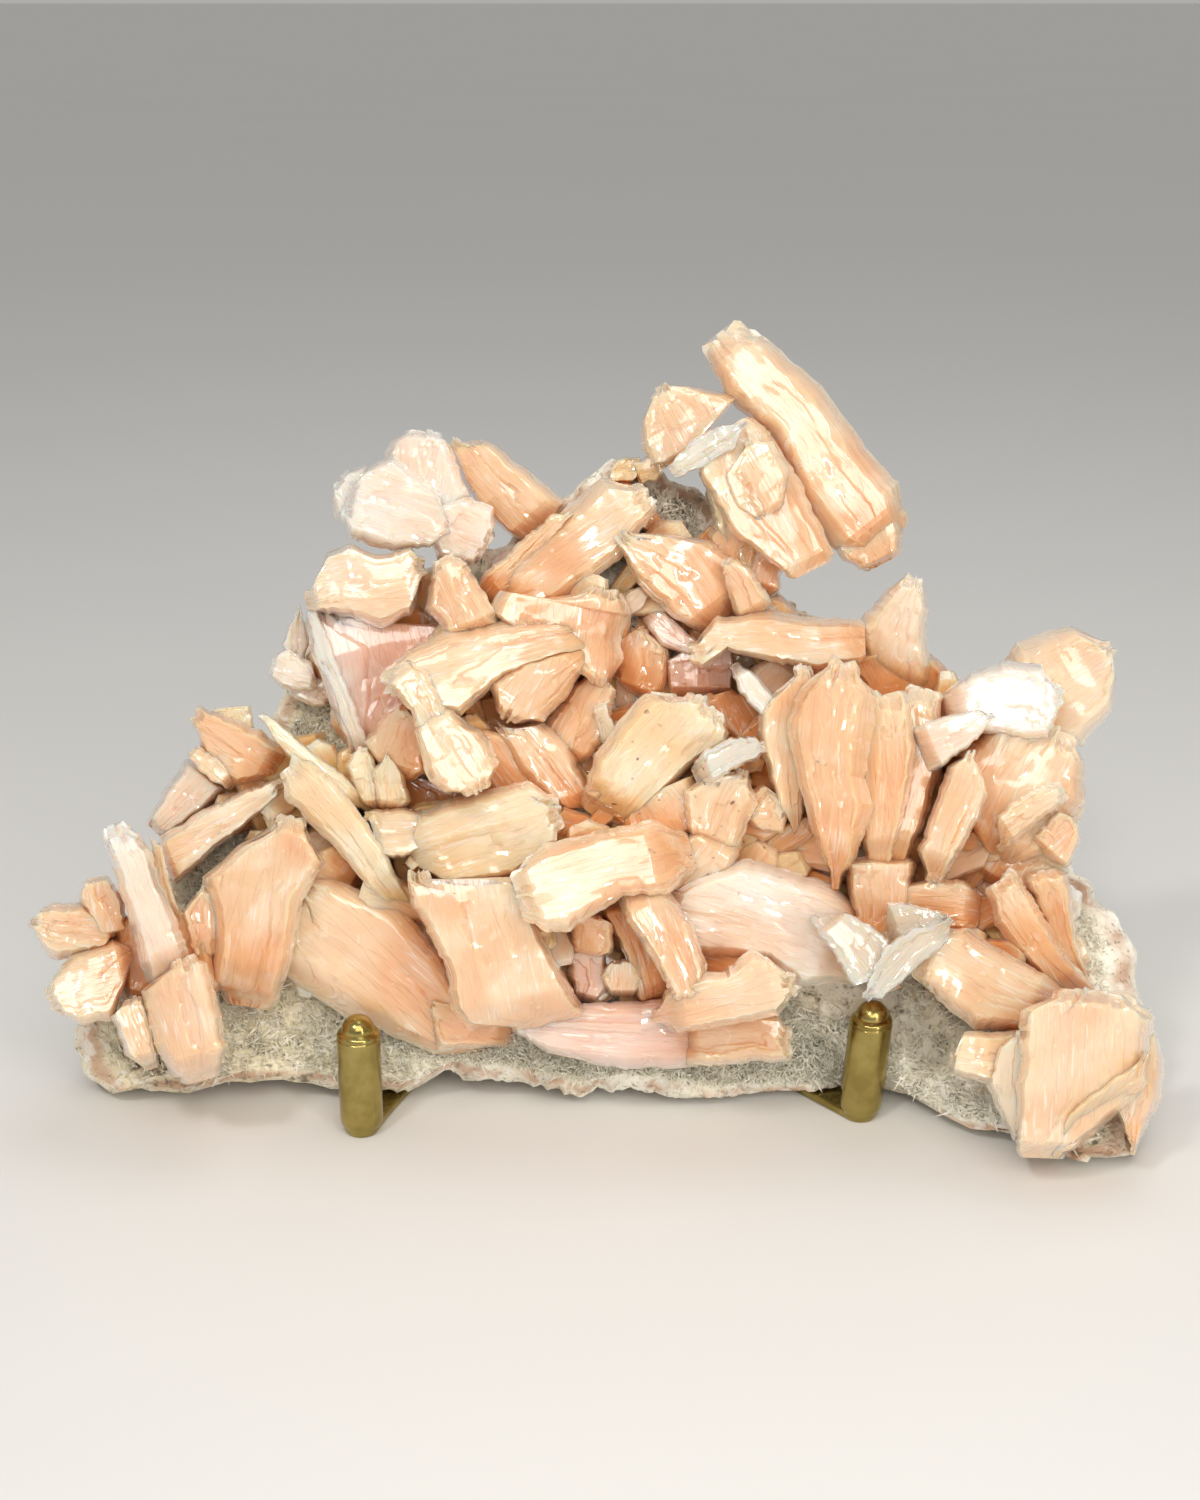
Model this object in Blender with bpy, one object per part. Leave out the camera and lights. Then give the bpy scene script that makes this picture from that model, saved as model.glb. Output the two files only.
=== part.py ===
"""A stilbite cluster: pale peach crystal blades on a leaning slab of matrix, held by a small brass stand.

Places on the front of the specimen are read in a 1200 x 1500 picture of it. SCALE turns them into millimetres
in a plane through the middle of the specimen, and a third number, the reach, says how many millimetres nearer
to the viewer than that plane a point lies. The viewer stands VIEW_DISTANCE away and looks down by LOOK_DOWN
degrees. Everything is then laid out in metres, +Z up, standing on z = 0.
"""

import math
import random

import bmesh
import bpy
import numpy as np
from mathutils import Matrix, Vector
from mathutils.bvhtree import BVHTree

# Driving dimensions, in millimetres and degrees
SCALE = 0.145
PICTURE_CENTRE = (600.0, 750.0)
VIEW_DISTANCE = 302.0
LOOK_DOWN = 20.0
TABLE_DROP = 46.5          # how far the table lies below the middle of the specimen
GAP = 0.3                  # clearance kept between separate pieces
EDGE_DROP = 0.42           # share of a blade's thickness by which its side edges lie behind its face
BACK_INSET = 0.10          # share of a blade's width by which its back is narrower on either side
END_TAPER = 0.30           # share of the thickness that a blade's face drops at its ends
BACK_TAPER = 0.18          # share of the thickness that a blade's back comes forward at its ends
LEAN_LIMIT = 0.3           # share of the length or width that the thickness may lean over
BLUNTNESS = 0.11           # share of the length further in at which the width of a blade's end is measured
LEAST_WIDTH = 0.24         # the narrowest a blade gets at its ends, as a share of its full width
OVERGROWTH = 1.10          # a crystal over the slab is this much larger than its outline, to meet others
STATION_SPACING = 0.25     # least distance between two turns of an outline, as a share of the length
LAST_STATION = 0.12        # least distance of a turn from the tip, as a share of the length
WELL_INSIDE = 0.95         # share of the slab's radius within which a place counts as over the slab
ROOT_REACH = 2.0           # how deep a root goes where it stands over the slab
FLATNESS = 16.0            # faces closer than this many degrees become one
FACE_MERGE = 3.5           # faces of the joined solid closer than this many degrees become one
SPLINTER_VOLUME = 15.0     # cubic millimetres below which a cut-off splinter is dropped
ROOT_EXTRA = 12.0          # the most that a root is thicker than the rest of its blade

ARM_THICKNESS = 1.2
ARM_WIDTH = 4.6
ARM_LIFT = 0.08            # the arms' undersides clear the table, as the pegs and the hub carry the weight
UNDERSIDE = 1.55           # height of the slab's underside above the table
CRYSTAL_CLEARANCE = 0.6    # height that no crystal goes below
HUB_RADIUS = 6.0
HUB_THICKNESS = 3.0
HUB_PLACE = (-3.0, 24.0)   # right of and behind the middle of the specimen
REAR_FOOT_LENGTH = 16.0
POST_RADIUS = 2.0
POST_HEIGHT = 42.0
PAD_RADIUS = 4.0
PAD_THICKNESS = 1.6
LEFT_PEG = (362.5, 1130.0)       # where each peg's axis meets the table, in the picture
RIGHT_PEG = (859.0, 1115.0)
RIGHT_PEG_LEAN = 4.0             # degrees that the right peg's top leans to the right
LEFT_ARM_HEADING = 75.0          # directions in which the arms leave the pegs, seen from above
RIGHT_ARM_HEADING = 130.0
ARM_REACH = 26.0                 # how far the arms keep those directions before they bend to the hub
PEG_SIDES = 12
# Half outline of a peg from its foot to its domed top: radius and height
PEG_PROFILE = ((1.9, 0.0), (2.35, 1.0), (3.0, 3.6), (3.0, 14.4), (2.7, 14.8), (2.85, 15.3), (2.3, 17.1),
               (1.0, 18.0))
HUB_PROFILE = ((HUB_RADIUS, 0.0), (HUB_RADIUS, HUB_THICKNESS - 0.8), (HUB_RADIUS - 0.8, HUB_THICKNESS))
POST_PROFILE = ((POST_RADIUS, 0.4), (POST_RADIUS, POST_HEIGHT - 1.0), (POST_RADIUS - 0.8, POST_HEIGHT))
PAD_STEM = 30.0                     # length of the pad's stem before it is cut to the distance to the post
PAD_DROP = 4.0                      # how far below the post's top the pad's axis meets the slab
PAD_PROFILE = ((PAD_RADIUS, 0.0), (PAD_RADIUS, PAD_THICKNESS), (POST_RADIUS * 0.8, PAD_THICKNESS),
               (POST_RADIUS * 0.8, PAD_STEM))
ARM_STEPS = 9                       # points along each arm
PEG_CLEARANCE = 0.1                 # extra gap between the pegs and the crystals

BACK_REACH = -15.0         # the slab's broken back
MATRIX_CENTRE = (600.0, 850.0)
MATRIX_TURNS = 46
MATRIX_FRONT_RINGS = (0.35, 0.62, 0.82, 0.96)
MATRIX_BACK_RINGS = (0.93, 0.76, 0.52, 0.28)
RIM_LIFT = 1.0             # how far the front stands above its edge, and above the plane at its middle
RIM_DEPTH = 2.5            # how far the outermost ring lies behind the edge
BACK_SLOPE = 9.0           # least thickness of the slab at its edge
BACK_RISE = 8.0            # the most that the back comes forward at the edge
SWELL_SPREAD = 0.6         # share of a rise's spread at which it has fallen by 1 - exp(-1/2)

# Outline of the slab, clockwise from its lower left corner: picture place and the reach of the edge
MATRIX_EDGE = (
    (77, 1022, 4), (78, 1080, 4), (112, 1096, 5), (136, 1087, 5), (180, 1095, 5), (224, 1083, 5),
    (272, 1080, 5), (311, 1087, 4.5), (340, 1093, 4.5), (408, 1093, 4.5), (440, 1076, 4.5), (500, 1077, 5),
    (530, 1085, 5), (584, 1096, 5.5), (630, 1086, 5), (683, 1097, 5.5), (719, 1100, 5.5), (787, 1096, 2.5),
    (881, 1092, 1.5), (915, 1099, 6), (966, 1129, 13), (1015, 1137, 16), (1049, 1152, 19), (1093, 1159, 22),
    (1114, 1175, 25), (1134, 1157, 23), (1142, 1080, 16), (1136, 994, 9), (1134, 953, 6), (1117, 922, 5),
    (1078, 876, 4), (1060, 800, 3), (1030, 720, 2), (950, 676, 2), (880, 650, 1), (800, 612, 0),
    (770, 580, 0), (722, 535, 0), (700, 490, 0), (655, 466, 0), (608, 458, 0), (560, 500, -1),
    (500, 548, -1), (440, 560, 0), (380, 590, 0), (330, 620, 0), (288, 670, 0), (276, 700, 0),
    (274, 735, 0), (215, 780, 1), (160, 870, 2), (100, 960, 3),
)

# Rises of the slab's front: picture place of the top, spread in picture units, and height
MATRIX_RISES = (
    (600, 850, 250, 9.0), (880, 780, 170, 7.0), (260, 900, 150, 6.0), (420, 640, 130, 5.0),
    (720, 560, 110, 4.0), (1080, 1050, 110, 9.0), (600, 1045, 220, 4.0), (150, 1010, 90, 6.0),
)

# Crystals: name, direction of growth in the picture in degrees (0 is right, 90 is up), reach of the face at
# the root and at the tip, how much nearer the right edge is than the left one (looking from root to tip),
# thickness, shares of the width that bevel off on the left and on the right, and the outline in the picture.
CRYSTALS = (
    ("crown_blade", 129, 13, 16, 0, 11, 0.42, 0.4, (705, 363, 705, 341, 739, 324, 759, 328, 788, 354,
        822, 385, 868, 448, 899, 482, 905, 505, 903, 530, 860, 556, 834, 552, 795, 500, 770, 440, 725,
        398)),
    ("crown_lobe", 118, 11, 12, 0, 9, 0.3, 0.3, (834, 552, 826, 530, 850, 500, 899, 500, 905, 518, 903,
        550, 891, 560, 873, 569, 858, 571, 841, 562)),
    ("crown_plate", 116, 19, 18, -3, 8, 0.14, 0.3, (754, 416, 771, 431, 805, 487, 834, 552, 817, 569,
        802, 575, 785, 574, 730, 533, 717, 513, 696, 472, 702, 450, 725, 425)),
    ("crown_overgrowth", 120, 21, 20, 2, 4, 0.15, 0.25, (722, 478, 748, 436, 772, 440, 790, 470, 785,
        504, 756, 522, 735, 510)),
    ("crown_block", 118, 15, 15, 2, 11, 0.15, 0.2, (638, 445, 640, 421, 651, 394, 662, 382, 691, 385,
        727, 393, 739, 397, 715, 425, 698, 450, 667, 467, 650, 465)),
    ("crown_clear_plate", 35, 20, 21, -2, 3, 0.1, 0.1, (667, 467, 690, 440, 722, 424, 749, 421, 735,
        450, 705, 468, 680, 479)),
    ("crown_foot", 100, 12, 14, 0, 9, 0.2, 0.2, (700, 470, 745, 470, 765, 520, 740, 560, 712, 530)),
    ("ridge_crumb_left", 170, 6, 5, 0, 6, 0.2, 0.2, (606, 473, 618, 458, 640, 455, 645, 470, 632, 484,
        612, 485)),
    ("ridge_crumb_right", 20, 7, 8, 0, 6, 0.2, 0.2, (632, 462, 655, 452, 668, 466, 658, 482, 640, 486)),
    ("shelf_left", 75, 11, 14, 2, 7, 0.2, 0.2, (704, 535, 724, 518, 750, 522, 762, 545, 750, 585, 728,
        590, 712, 565)),
    ("shelf_right", 70, 11, 13, -3, 8, 0.25, 0.15, (730, 548, 755, 528, 778, 536, 784, 560, 782, 590,
        768, 600, 745, 592)),
    ("rosette_top", 80, 15, 13, 3, 8, 0.2, 0.25, (382, 452, 393, 438, 407, 428, 438, 430, 450, 440, 470,
        497, 440, 520, 398, 490)),
    ("rosette_right", 330, 18, 15, -3, 7, 0.2, 0.25, (436, 505, 468, 495, 494, 507, 496, 526, 491, 545,
        472, 567, 438, 562, 424, 532)),
    ("rosette_heart", 165, 19, 17, 3, 8, 0.25, 0.2, (344, 485, 365, 464, 395, 455, 440, 492, 452, 530,
        430, 548, 390, 553, 348, 539, 336, 515)),
    ("rosette_lobe", 140, 15, 13, 0, 8, 0.3, 0.3, (329, 502, 330, 487, 346, 470, 366, 464, 380, 490,
        374, 519, 350, 528, 334, 519)),
    ("back_blade", 132, 9, 11, 3, 11, 0.15, 0.35, (446, 441, 484, 436, 500, 443, 518, 461, 566, 500,
        548, 540, 525, 548, 494, 524, 468, 495)),
    ("diagonal_blade", 32, 11, 16, 3, 9, 0.38, 0.3, (479, 591, 500, 558, 545, 528, 600, 481, 639, 490,
        656, 508, 618, 557, 560, 600, 510, 612)),
    ("diagonal_slip", 38, 12, 14, -2, 5, 0.3, 0.3, (476, 594, 486, 572, 552, 514, 572, 516, 530, 572,
        498, 604)),
    ("left_block", 12, 21, 20, -2, 12, 0.14, 0.25, (305, 599, 319, 565, 327, 550, 348, 541, 380, 553,
        414, 545, 431, 567, 421, 601, 414, 618, 382, 629, 346, 618, 315, 613)),
    ("left_block_blade", 115, 23, 22, 3, 8, 0.25, 0.3, (434, 568, 448, 557, 465, 559, 477, 579, 494,
        612, 503, 623, 479, 632, 445, 632, 428, 608)),
    ("mauve_plate", 103, 14, 15, -3, 6, 0.1, 0.2, (308, 615, 346, 615, 400, 625, 450, 628, 436, 662,
        407, 702, 368, 745, 356, 762, 335, 705, 316, 655)),
    ("mauve_plate_edge", 105, 16, 17, 2, 4, 0.25, 0.3, (307, 612, 320, 616, 345, 676, 368, 745, 357,
        761, 334, 704, 314, 655)),
    ("silver_blade_top", 100, 9, 12, -3, 5, 0.25, 0.25, (300, 603, 312, 640, 304, 672, 286, 668, 281,
        645, 287, 628)),
    ("silver_blade_mid", 165, 10, 12, 2, 5, 0.25, 0.25, (266, 678, 271, 655, 290, 646, 312, 662, 322,
        690, 300, 694, 282, 690)),
    ("silver_blade_low", 150, 7, 8, 0, 4, 0.25, 0.25, (286, 692, 300, 670, 326, 680, 334, 704, 312,
        708)),
    ("long_tongue", 196, 20, 28, -2, 10, 0.2, 0.38, (387, 683, 397, 662, 420, 645, 445, 633, 506, 623,
        560, 622, 600, 628, 590, 650, 540, 662, 500, 680, 462, 712, 430, 706, 400, 694)),
    ("centre_block", 78, 20, 20, -3, 11, 0.18, 0.25, (494, 613, 506, 593, 542, 601, 571, 596, 591, 587,
        615, 591, 627, 613, 618, 642, 621, 657, 600, 691, 582, 672, 535, 645)),
    ("dark_wedge", 238, 23, 22, 4, 9, 0.25, 0.3, (492, 682, 520, 662, 588, 650, 578, 680, 545, 722, 520,
        724, 497, 714)),
    ("club_top", 128, 29, 31, -2, 9, 0.28, 0.3, (388, 684, 396, 668, 408, 660, 430, 674, 442, 703, 462,
        722, 450, 760, 420, 752, 410, 712)),
    ("club_foot", 300, 30, 31, 3, 10, 0.28, 0.25, (417, 733, 425, 708, 450, 708, 486, 738, 498, 764,
        486, 786, 472, 796, 447, 793, 429, 780)),
    ("shadow_face", 70, 18, 20, 4, 9, 0.25, 0.2, (364, 742, 384, 716, 403, 704, 420, 726, 426, 769, 408,
        783, 381, 769)),
    ("brush", 125, 15, 20, 0, 8, 0.35, 0.3, (495, 728, 541, 724, 566, 744, 600, 806, 560, 808, 520,
        776)),
    ("thin_plate_left", 62, 14, 17, 3, 5, 0.2, 0.25, (548, 722, 572, 690, 598, 666, 616, 690, 604, 738,
        574, 772, 556, 760)),
    ("thin_plate_right", 118, 16, 19, 2, 3, 0.25, 0.25, (592, 708, 606, 704, 620, 742, 612, 756, 600,
        740)),
    ("table_crystal", 52, 22, 25, -2, 10, 0.3, 0.14, (583, 798, 600, 754, 622, 722, 646, 697, 699, 694,
        711, 706, 727, 730, 724, 743, 697, 761, 680, 778, 626, 824, 610, 814)),
    ("table_side", 232, 19, 20, 4, 9, 0.25, 0.25, (585, 797, 612, 770, 660, 780, 690, 790, 650, 826,
        622, 826)),
    ("clear_block", 24, 28, 28, -2, 5, 0.14, 0.2, (693, 766, 707, 749, 731, 738, 753, 736, 767, 751,
        755, 762, 733, 772, 704, 786)),
    ("shatter_left", 125, 20, 22, 2, 8, 0.25, 0.25, (622, 824, 650, 792, 690, 776, 706, 806, 692, 840,
        652, 852, 630, 846)),
    ("shatter_right", 70, 22, 24, -3, 7, 0.2, 0.25, (684, 792, 712, 776, 745, 772, 756, 806, 738, 846,
        706, 852, 690, 830)),
    ("shatter_tail", 240, 23, 22, 2, 7, 0.25, 0.25, (660, 850, 696, 832, 742, 842, 728, 872, 694, 896,
        660, 900, 650, 880)),
    ("tucked_plate", 40, 19, 20, 2, 5, 0.2, 0.2, (738, 802, 762, 784, 788, 803, 782, 832, 756, 830, 740,
        820)),
    ("arm_blade", 182, 17, 22, -3, 9, 0.22, 0.35, (690, 658, 697, 642, 719, 618, 770, 612, 806, 618,
        856, 621, 856, 660, 813, 669, 760, 660, 731, 652, 704, 667)),
    ("upper_plate", 128, 14, 18, -3, 9, 0.25, 0.2, (617, 540, 633, 534, 671, 536, 708, 542, 728, 556,
        748, 590, 737, 616, 705, 632, 676, 617, 640, 582)),
    ("upper_tooth", 118, 18, 19, 3, 6, 0.25, 0.3, (720, 562, 737, 558, 752, 569, 772, 600, 760, 616,
        736, 616)),
    ("rose_plate", 90, 12, 13, 0, 6, 0.1, 0.1, (668, 662, 692, 644, 733, 652, 732, 690, 702, 698, 670,
        696)),
    ("mauve_rod", 326, 12, 14, 0, 5, 0.3, 0.3, (640, 618, 652, 610, 668, 613, 698, 640, 692, 656, 660,
        646)),
    ("little_white_blade", 300, 22, 24, 2, 4, 0.25, 0.3, (731, 668, 741, 664, 760, 679, 775, 698, 762,
        718, 738, 690)),
    ("gully_left", 70, 10, 12, 2, 6, 0.25, 0.25, (612, 640, 640, 628, 668, 650, 664, 690, 634, 700, 616,
        676)),
    ("gully_right", 120, 11, 14, -2, 6, 0.25, 0.25, (700, 700, 734, 690, 764, 704, 768, 740, 742, 744,
        718, 728)),
    ("steeple", 66, 10, 18, 0, 11, 0.38, 0.3, (853, 624, 879, 594, 908, 571, 925, 582, 930, 608, 927,
        640, 934, 668, 930, 692, 880, 692, 860, 668)),
    ("steeple_foot", 110, 8, 12, 0, 9, 0.2, 0.2, (846, 668, 870, 650, 930, 655, 950, 676, 944, 700, 880,
        706)),
    ("ridge_back", 92, 21, 24, -3, 9, 0.25, 0.3, (757, 720, 770, 700, 789, 679, 808, 667, 826, 700, 812,
        770, 796, 834, 776, 792, 762, 752)),
    ("ridge_front", 84, 27, 30, 3, 10, 0.25, 0.4, (789, 730, 801, 696, 840, 662, 857, 674, 876, 696,
        870, 740, 864, 778, 872, 802, 855, 850, 836, 878, 812, 820)),
    ("ridge_fan_left", 94, 24, 25, 4, 9, 0.3, 0.2, (856, 706, 880, 694, 908, 694, 916, 750, 905, 810,
        890, 866, 868, 866, 856, 800)),
    ("ridge_fan_right", 74, 23, 22, 0, 9, 0.2, 0.3, (892, 698, 925, 690, 942, 706, 944, 760, 924, 820,
        902, 868, 884, 850, 886, 770)),
    ("pearl_blade", 16, 21, 25, 2, 9, 0.3, 0.25, (935, 695, 970, 672, 1005, 658, 1044, 662, 1071, 697,
        1064, 716, 1048, 741, 1029, 742, 980, 734, 940, 722)),
    ("stepped_back", 32, 13, 18, 2, 11, 0.3, 0.2, (1002, 662, 1015, 642, 1044, 630, 1072, 625, 1097,
        636, 1114, 643, 1119, 682, 1113, 711, 1082, 748, 1050, 742, 1020, 700)),
    ("white_leaf", 24, 27, 29, 0, 4, 0.2, 0.2, (915, 728, 940, 718, 976, 710, 992, 717, 980, 736, 958,
        755, 931, 773, 919, 752)),
    ("right_body", 62, 19, 22, 2, 11, 0.25, 0.25, (958, 752, 990, 728, 1040, 722, 1068, 736, 1082, 764,
        1080, 802, 1044, 850, 1000, 864, 972, 820)),
    ("striated_leaf", 66, 27, 30, 2, 10, 0.3, 0.25, (948, 768, 970, 750, 982, 775, 987, 797, 978, 820,
        942, 881, 928, 868, 919, 846)),
    ("right_wedge", 30, 25, 27, -3, 6, 0.2, 0.3, (999, 815, 1023, 795, 1056, 780, 1065, 803, 1033, 826,
        1003, 851)),
    ("right_cube", 48, 21, 22, -2, 9, 0.18, 0.18, (1024, 843, 1056, 809, 1081, 819, 1082, 846, 1068,
        869, 1043, 860)),
    ("right_edge_blade", 84, 14, 16, -3, 8, 0.25, 0.25, (1054, 742, 1076, 738, 1082, 780, 1087, 801,
        1082, 826, 1062, 830, 1052, 790)),
    ("right_root", 60, 14, 18, 0, 9, 0.2, 0.2, (975, 850, 1010, 836, 1060, 850, 1066, 872, 1030, 892,
        985, 884)),
    ("ledge_blade", 152, 13, 18, 3, 8, 0.3, 0.25, (187, 720, 196, 702, 230, 716, 264, 730, 292, 754,
        282, 778, 257, 782, 230, 790, 205, 764)),
    ("ledge_broken_plate", 140, 16, 17, -2, 4, 0.2, 0.2, (184, 754, 200, 742, 222, 758, 236, 782, 230,
        792, 206, 778)),
    ("ledge_back_plate", 120, 11, 13, 0, 5, 0.2, 0.2, (210, 708, 230, 706, 252, 704, 256, 728, 236, 740,
        216, 726)),
    ("glass_blade", 232, 13, 11, 0, 11, 0.25, 0.3, (144, 823, 160, 793, 184, 758, 206, 770, 226, 792,
        206, 812, 162, 840)),
    ("left_spear", 112, 26, 31, 0, 9, 0.36, 0.36, (101, 836, 110, 822, 122, 820, 141, 831, 153, 853,
        168, 896, 190, 950, 186, 976, 168, 990, 146, 986, 129, 925, 114, 877)),
    ("left_boot", 104, 27, 29, 3, 10, 0.3, 0.3, (144, 993, 168, 972, 190, 959, 206, 967, 218, 1010, 226,
        1042, 219, 1066, 196, 1077, 173, 1073, 156, 1047)),
    ("left_heel", 110, 23, 25, -2, 12, 0.25, 0.25, (112, 1015, 128, 1000, 145, 998, 158, 1040, 159,
        1059, 146, 1068, 127, 1055)),
    ("left_stub", 100, 20, 22, -2, 9, 0.2, 0.25, (76, 898, 83, 876, 110, 872, 124, 895, 130, 928, 102,
        940)),
    ("left_tip", 172, 20, 22, 2, 11, 0.3, 0.3, (26, 922, 37, 908, 51, 902, 84, 900, 118, 926, 104, 952,
        56, 963, 40, 950)),
    ("left_fist", 194, 21, 24, -3, 10, 0.25, 0.3, (43, 992, 51, 974, 78, 947, 112, 937, 138, 947, 122,
        998, 112, 1022, 81, 1026, 56, 1016)),
    ("left_sliver", 100, 22, 24, 2, 4, 0.25, 0.25, (150, 836, 163, 843, 172, 882, 184, 920, 168, 916,
        154, 880)),
    ("left_core", 80, 16, 19, 0, 10, 0.2, 0.2, (112, 930, 150, 900, 205, 925, 220, 985, 180, 1020, 130,
        1010)),
    ("sparkle_blade", 22, 16, 19, -2, 12, 0.3, 0.22, (164, 834, 206, 808, 250, 788, 280, 778, 276, 800,
        240, 830, 180, 880, 167, 868)),
    ("left_keystone", 80, 20, 26, 2, 13, 0.25, 0.25, (206, 880, 240, 848, 276, 825, 298, 820, 322, 866,
        300, 902, 292, 951, 276, 997, 247, 998, 213, 975, 216, 914)),
    ("keystone_side", 95, 17, 20, -2, 8, 0.2, 0.2, (182, 914, 206, 886, 222, 904, 222, 960, 206, 970,
        188, 946)),
    ("lath_front", 128, 21, 25, 3, 5, 0.3, 0.25, (280, 770, 296, 760, 312, 764, 340, 786, 360, 815, 380,
        844, 402, 888, 394, 906, 372, 892, 344, 856, 314, 826, 286, 798)),
    ("lath_back", 146, 17, 20, 0, 3, 0.25, 0.25, (261, 718, 272, 718, 300, 740, 340, 772, 374, 802, 366,
        812, 320, 786, 280, 748)),
    ("feather_left", 96, 16, 18, 0, 5, 0.25, 0.25, (346, 768, 354, 752, 368, 746, 384, 786, 380, 812,
        360, 800)),
    ("feather_right", 80, 17, 19, 0, 5, 0.25, 0.25, (372, 772, 388, 752, 404, 776, 410, 800, 396, 814,
        378, 806)),
    ("sideways_block", 178, 20, 21, -3, 9, 0.15, 0.25, (366, 811, 400, 808, 436, 811, 453, 824, 440,
        842, 402, 858, 382, 855)),
    ("hollow_back", 90, 8, 10, 0, 7, 0.2, 0.2, (380, 770, 430, 780, 470, 795, 480, 830, 420, 840, 384,
        820)),
    ("cream_mass", 20, 22, 26, -2, 12, 0.25, 0.2, (407, 856, 426, 812, 475, 794, 525, 784, 556, 806,
        556, 842, 513, 876, 453, 884)),
    ("front_block", 102, 26, 30, -2, 15, 0.14, 0.16, (409, 876, 440, 881, 480, 880, 516, 879, 525, 888,
        540, 939, 582, 1012, 550, 1022, 465, 1018, 453, 1002, 450, 968, 418, 908)),
    ("long_slope", 138, 13, 18, 4, 9, 0.36, 0.32, (284, 968, 290, 920, 298, 878, 339, 885, 402, 912,
        430, 946, 458, 995, 492, 1031, 477, 1047, 431, 1048, 344, 1012, 310, 988)),
    ("slope_foot", 150, 13, 15, 0, 7, 0.25, 0.25, (430, 1000, 470, 1000, 520, 1020, 500, 1046, 440,
        1049)),
    ("overhang", 196, 31, 35, -2, 9, 0.3, 0.3, (516, 876, 537, 852, 550, 845, 617, 830, 647, 823, 671,
        835, 685, 854, 683, 876, 664, 893, 622, 896, 591, 915, 574, 928, 547, 928, 533, 915)),
    ("leg", 292, 30, 30, 3, 10, 0.3, 0.25, (620, 890, 664, 888, 692, 925, 704, 962, 704, 1000, 676,
        1004, 655, 962, 628, 925)),
    ("foot", 16, 28, 32, -3, 11, 0.3, 0.2, (660, 1016, 670, 990, 702, 973, 724, 972, 750, 951, 772, 961,
        795, 982, 791, 998, 778, 1015, 732, 1022, 686, 1031)),
    ("cave_striated", 75, 17, 19, 0, 7, 0.3, 0.25, (567, 955, 588, 948, 606, 956, 608, 990, 592, 1006,
        574, 996)),
    ("cave_hexagon", 90, 19, 21, 0, 8, 0.18, 0.18, (600, 976, 612, 960, 632, 960, 644, 978, 634, 997,
        610, 997)),
    ("cave_block", 80, 20, 23, 2, 7, 0.2, 0.2, (570, 922, 590, 914, 612, 922, 612, 952, 592, 960, 574,
        952)),
    ("cave_wall", 100, 18, 21, -2, 9, 0.2, 0.2, (600, 905, 636, 900, 660, 940, 672, 1000, 640, 1004,
        622, 950)),
    ("low_mauve_blade", 176, 16, 20, 3, 8, 0.3, 0.36, (498, 1000, 540, 1010, 600, 1004, 660, 1000, 716,
        1008, 712, 1048, 690, 1066, 620, 1066, 560, 1054, 516, 1034)),
    ("low_pale_blade", 4, 16, 18, 0, 7, 0.28, 0.3, (676, 1020, 740, 1012, 776, 1014, 790, 1036, 786,
        1060, 730, 1064, 680, 1064)),
    ("pearl_slab", 163, 19, 24, 2, 10, 0.2, 0.3, (667, 896, 700, 880, 750, 863, 790, 874, 831, 888, 849,
        906, 852, 984, 837, 978, 796, 982, 766, 959, 702, 953, 674, 930)),
    ("ice_plate_left", 310, 29, 30, 2, 3, 0.1, 0.1, (812, 922, 846, 914, 870, 925, 887, 940, 888, 972,
        854, 984)),
    ("ice_plate_front", 232, 31, 30, 2, 3, 0.1, 0.1, (886, 946, 912, 930, 948, 922, 946, 942, 910, 975,
        884, 997, 864, 994)),
    ("ice_plate_back", 20, 27, 26, 0, 3, 0.1, 0.1, (888, 902, 912, 904, 940, 911, 949, 922, 916, 951,
        890, 940)),
    ("fan_root", 90, 19, 22, 0, 10, 0.2, 0.2, (846, 862, 880, 856, 916, 862, 908, 910, 880, 948, 856,
        930)),
    ("right_shelf", 174, 18, 20, 2, 8, 0.25, 0.2, (890, 890, 930, 879, 962, 882, 984, 898, 980, 928,
        940, 932, 902, 918)),
    ("right_beam", 152, 22, 27, 0, 10, 0.34, 0.34, (913, 976, 930, 950, 950, 929, 967, 931, 1010, 956,
        1067, 990, 1050, 1012, 1016, 1029, 996, 1027, 974, 1026, 940, 1000)),
    ("amber_brush", 124, 18, 23, 2, 8, 0.35, 0.3, (986, 891, 1002, 876, 1018, 873, 1036, 905, 1062, 946,
        1094, 987, 1066, 994, 1030, 966, 998, 927)),
    ("amber_blade", 102, 15, 20, 2, 7, 0.3, 0.3, (1026, 882, 1047, 872, 1067, 876, 1073, 900, 1078, 946,
        1090, 978, 1070, 972, 1048, 936)),
    ("corner_block", 82, 31, 36, -3, 13, 0.14, 0.2, (986, 1084, 998, 1048, 1020, 1012, 1066, 994, 1085,
        992, 1127, 997, 1149, 1016, 1146, 1050, 1141, 1088, 1100, 1120, 1054, 1152, 1013, 1136)),
    ("corner_heel", 170, 27, 30, 0, 11, 0.25, 0.25, (950, 1060, 964, 1032, 1018, 1032, 1020, 1062, 988,
        1084, 954, 1073)),
    ("corner_wing", 78, 27, 29, -3, 13, 0.25, 0.35, (1112, 1110, 1118, 1062, 1147, 1030, 1152, 1004,
        1162, 1021, 1180, 1052, 1186, 1078, 1180, 1102, 1156, 1131, 1136, 1156)),
)

# Undergrowth: middles of the short blades in the picture, and the place that they turn away from
UNDER_SEED = 5
UNDER_FOCUS = (600, 900)
UNDER_PLACES = (
    (330, 800), (440, 850), (380, 690), (540, 750), (600, 960),
)

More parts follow.
